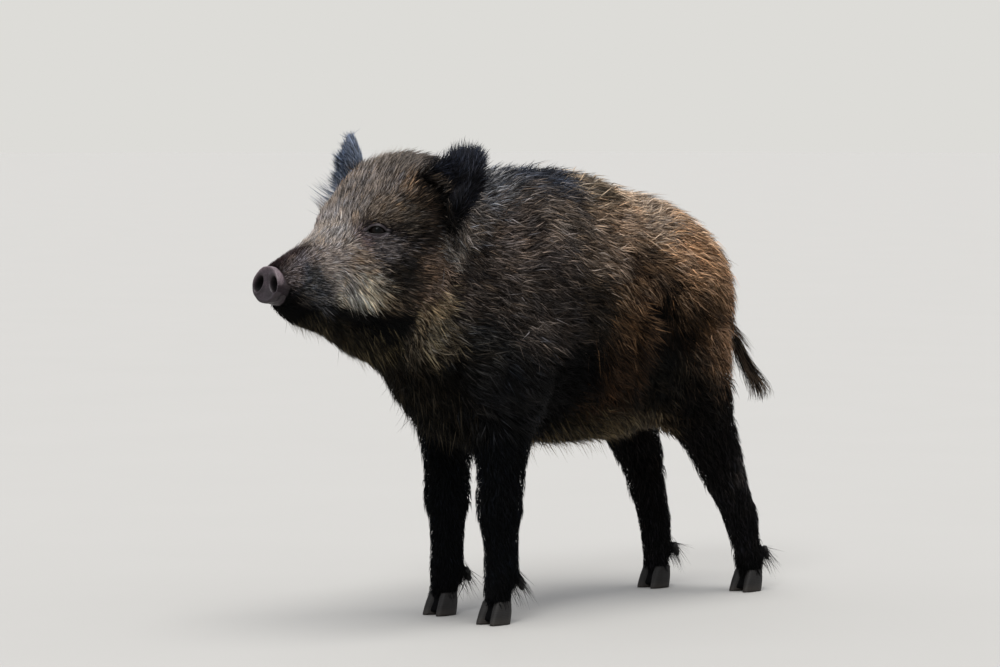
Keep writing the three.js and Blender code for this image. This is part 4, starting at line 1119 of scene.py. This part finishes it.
angle = dice.uniform(0, 6.28, count)
ringOut = np.stack([np.cos(angle), np.sin(angle), 0.2 * np.sin(angle)], 1)
flare = brushStyle["flare"] * dice.random(count) ** 1.5 * (0.5 + 0.7 * np.clip(start, 0, 1))
root = alongCore(start) + ringOut * brushStyle["core"]
tip = alongCore(end) + ringOut * (2 * mm + flare)[:, None]
middle = alongCore((start + end) / 2) + ringOut * (4.5 * mm + flare * 0.62)[:, None]
side = unit(np.cross(tip - root, ringOut))
tipped = dice.random(count) < brushStyle["share"]
tipTone = np.where(tipped[:, None], tone(*brushStyle["pale"]), tone(*brushStyle["dark"]))
tipTone = tipTone * np.exp(brushStyle["light"] * dice.normal(size=count))[:, None]
rootTone = np.tile(tone(*brushStyle["root"]), (count, 1))
spot = np.stack([angle / 6.3 * 0.9 + 0.05, np.clip(start + 0.25, 0.02, 0.98)], 1)
width = np.full(count, brushStyle["width"])
mesh = growTufts("tail_brush_hair", root, middle, tip, side, width, rootTone, tipTone, spot, 2)
brushPiece = link("tail_brush_hair", mesh)
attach(brushPiece, "root")
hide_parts("tail_brush")

# eyes
ballStyle = {"sides": 48, "turns": 44, "bulge": 0.045, "bulgeWidth": 0.62, "pupil": (2, 2, 2),
             "pupilEdge": (0.30, 0.36), "iris": (11, 7, 5), "irisEdge": (0.74, 0.84), "white": (15, 10, 9)}
bench = Bench("eyeFinish")
turned = bench.level("turned")  # angle from the line of sight, in radians
rays = bench.noise(900.0, 2.0)
past = turned.between(*ballStyle["pupilEdge"])
iris = bench.blend(past, tone(*ballStyle["pupil"]), tone(*ballStyle["iris"]))
iris = bench.times(iris, 0.8 + rays * 0.4)
white = bench.blend(turned.between(*ballStyle["irisEdge"]), iris, tone(*ballStyle["white"]))
eyeFinish = bench.finish(colour=white, rough=0.35, coat=0.6, coatRough=0.02, coatBend=1.25, gloss=0.0)
turns = np.linspace(0.06, 2.9, ballStyle["turns"])
around = ballStyle["sides"]


def eyeMesh(name, ball, radius, gaze, along, upward):  # rings of points from the ball's front to its back
    rows = [ball + gaze * radius * (1 + ballStyle["bulge"])]
    for t in turns:
        bulge = radius * (1 + ballStyle["bulge"] * hump(t, ballStyle["bulgeWidth"]))
        for k in range(around):
            spin = k * 2 * math.pi / around
            out = gaze * math.cos(t) + (along * math.cos(spin) + upward * math.sin(spin)) * math.sin(t)
            rows.append(ball + out * bulge)
    last = len(rows)
    rows.append(ball - gaze * radius)
    faces = []
    for k in range(around):
        n = (k + 1) % around
        faces.append((0, 1 + k, 1 + n))
        for first in range(1, last - around, around):
            faces.append((first + k, first + around + k, first + around + n, first + n))
        faces.append((last, last - around + n, last - around + k))
    mesh = bpy.data.meshes.new(name)
    mesh.from_pydata([tuple(r) for r in rows], [], faces)
    paint(mesh, "turned", np.concatenate([[0.0], np.repeat(turns, around), [math.pi]]))
    return mesh


for side, seat in eyeBalls.items():
    mesh = eyeMesh("eyeball_" + side, *seat)
    if side == "right":
        mesh.flip_normals()
    dress(mesh, eyeFinish)
    piece = link("eyeball_" + side, mesh)
    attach(piece, "root")
    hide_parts("eye_" + side)
print("eyes are set")

# hooves and dewclaws
hornStyle = {"voxel": 1.5 * mm, "rounds": 9, "rings": 2.3 * mm, "toe": 0.34, "inward": 2.2 * mm,
             "topWide": 0.12, "topLong": 0.1, "sole": 1.6 * mm, "wear": 14 * mm, "dark": (11, 10, 9),
             "pale": (27, 24, 22), "worn": (54, 48, 42)}
bench = Bench("hornFinish")
where = bench.place()
stretched = bench.add("ShaderNodeMapping", {}, {"Vector": where, "Scale": (1.0, 1.0, 0.12)})
streaks = bench.noise(700.0, 3.0, 0.5, stretched)
height = bench.parts(where)[2]
growth = (height * (2 * math.pi / hornStyle["rings"]) + streaks * 2.0)
growth = growth.sum("SINE", growth) * 0.5 + 0.5
worn = 1.0 - height.between(0.0, hornStyle["wear"])
horn = bench.blend(streaks, tone(*hornStyle["dark"]), tone(*hornStyle["pale"]))
horn = bench.times(horn, 0.85 + growth * 0.3)
horn = bench.blend(worn * 0.45, horn, tone(*hornStyle["worn"]))
ridges = bench.bump(growth, 0.35, 0.5 * mm)
hornFinish = bench.finish(colour=horn, rough=(0.5 + streaks * 0.25).kept(), normal=ridges, gloss=0.3)


def shapeHoof(name, points):  # narrows it to its toe and to its top, and makes its sole flat
    low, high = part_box(name)
    middle = (low + high) / 2
    toward = ease(0.1, 1.0, (middle.y - points[:, 1]) / (high.y - low.y) * 2)
    upper = ease(0.45, 1.0, points[:, 2] / (high.z - low.z))
    inner = -math.copysign(1, middle.x) * (1 if "inner" in name else -1)
    narrow = (1 - hornStyle["toe"] * toward) * (1 - hornStyle["topWide"] * upper)
    points[:, 0] = middle.x + (points[:, 0] - middle.x) * narrow + inner * hornStyle["inward"] * toward
    points[:, 1] = middle.y + (points[:, 1] - middle.y) * (1 - hornStyle["topLong"] * upper)
    points[:, 2] = np.where(points[:, 2] < hornStyle["sole"], 0.0, points[:, 2])


for name in hornNames:
    mesh = remeshed(gather([name]), hornStyle["voxel"])
    points = relax(places(mesh), edgesOf(mesh), hornStyle["rounds"])
    if "hoof" in name:
        shapeHoof(name, points)
    setPlaces(mesh, points)
    dress(mesh, hornFinish)
    piece = link("horn_" + name, mesh)
    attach(piece, "root")
    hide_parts(name)
print("hooves are shaped")

low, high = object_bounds()
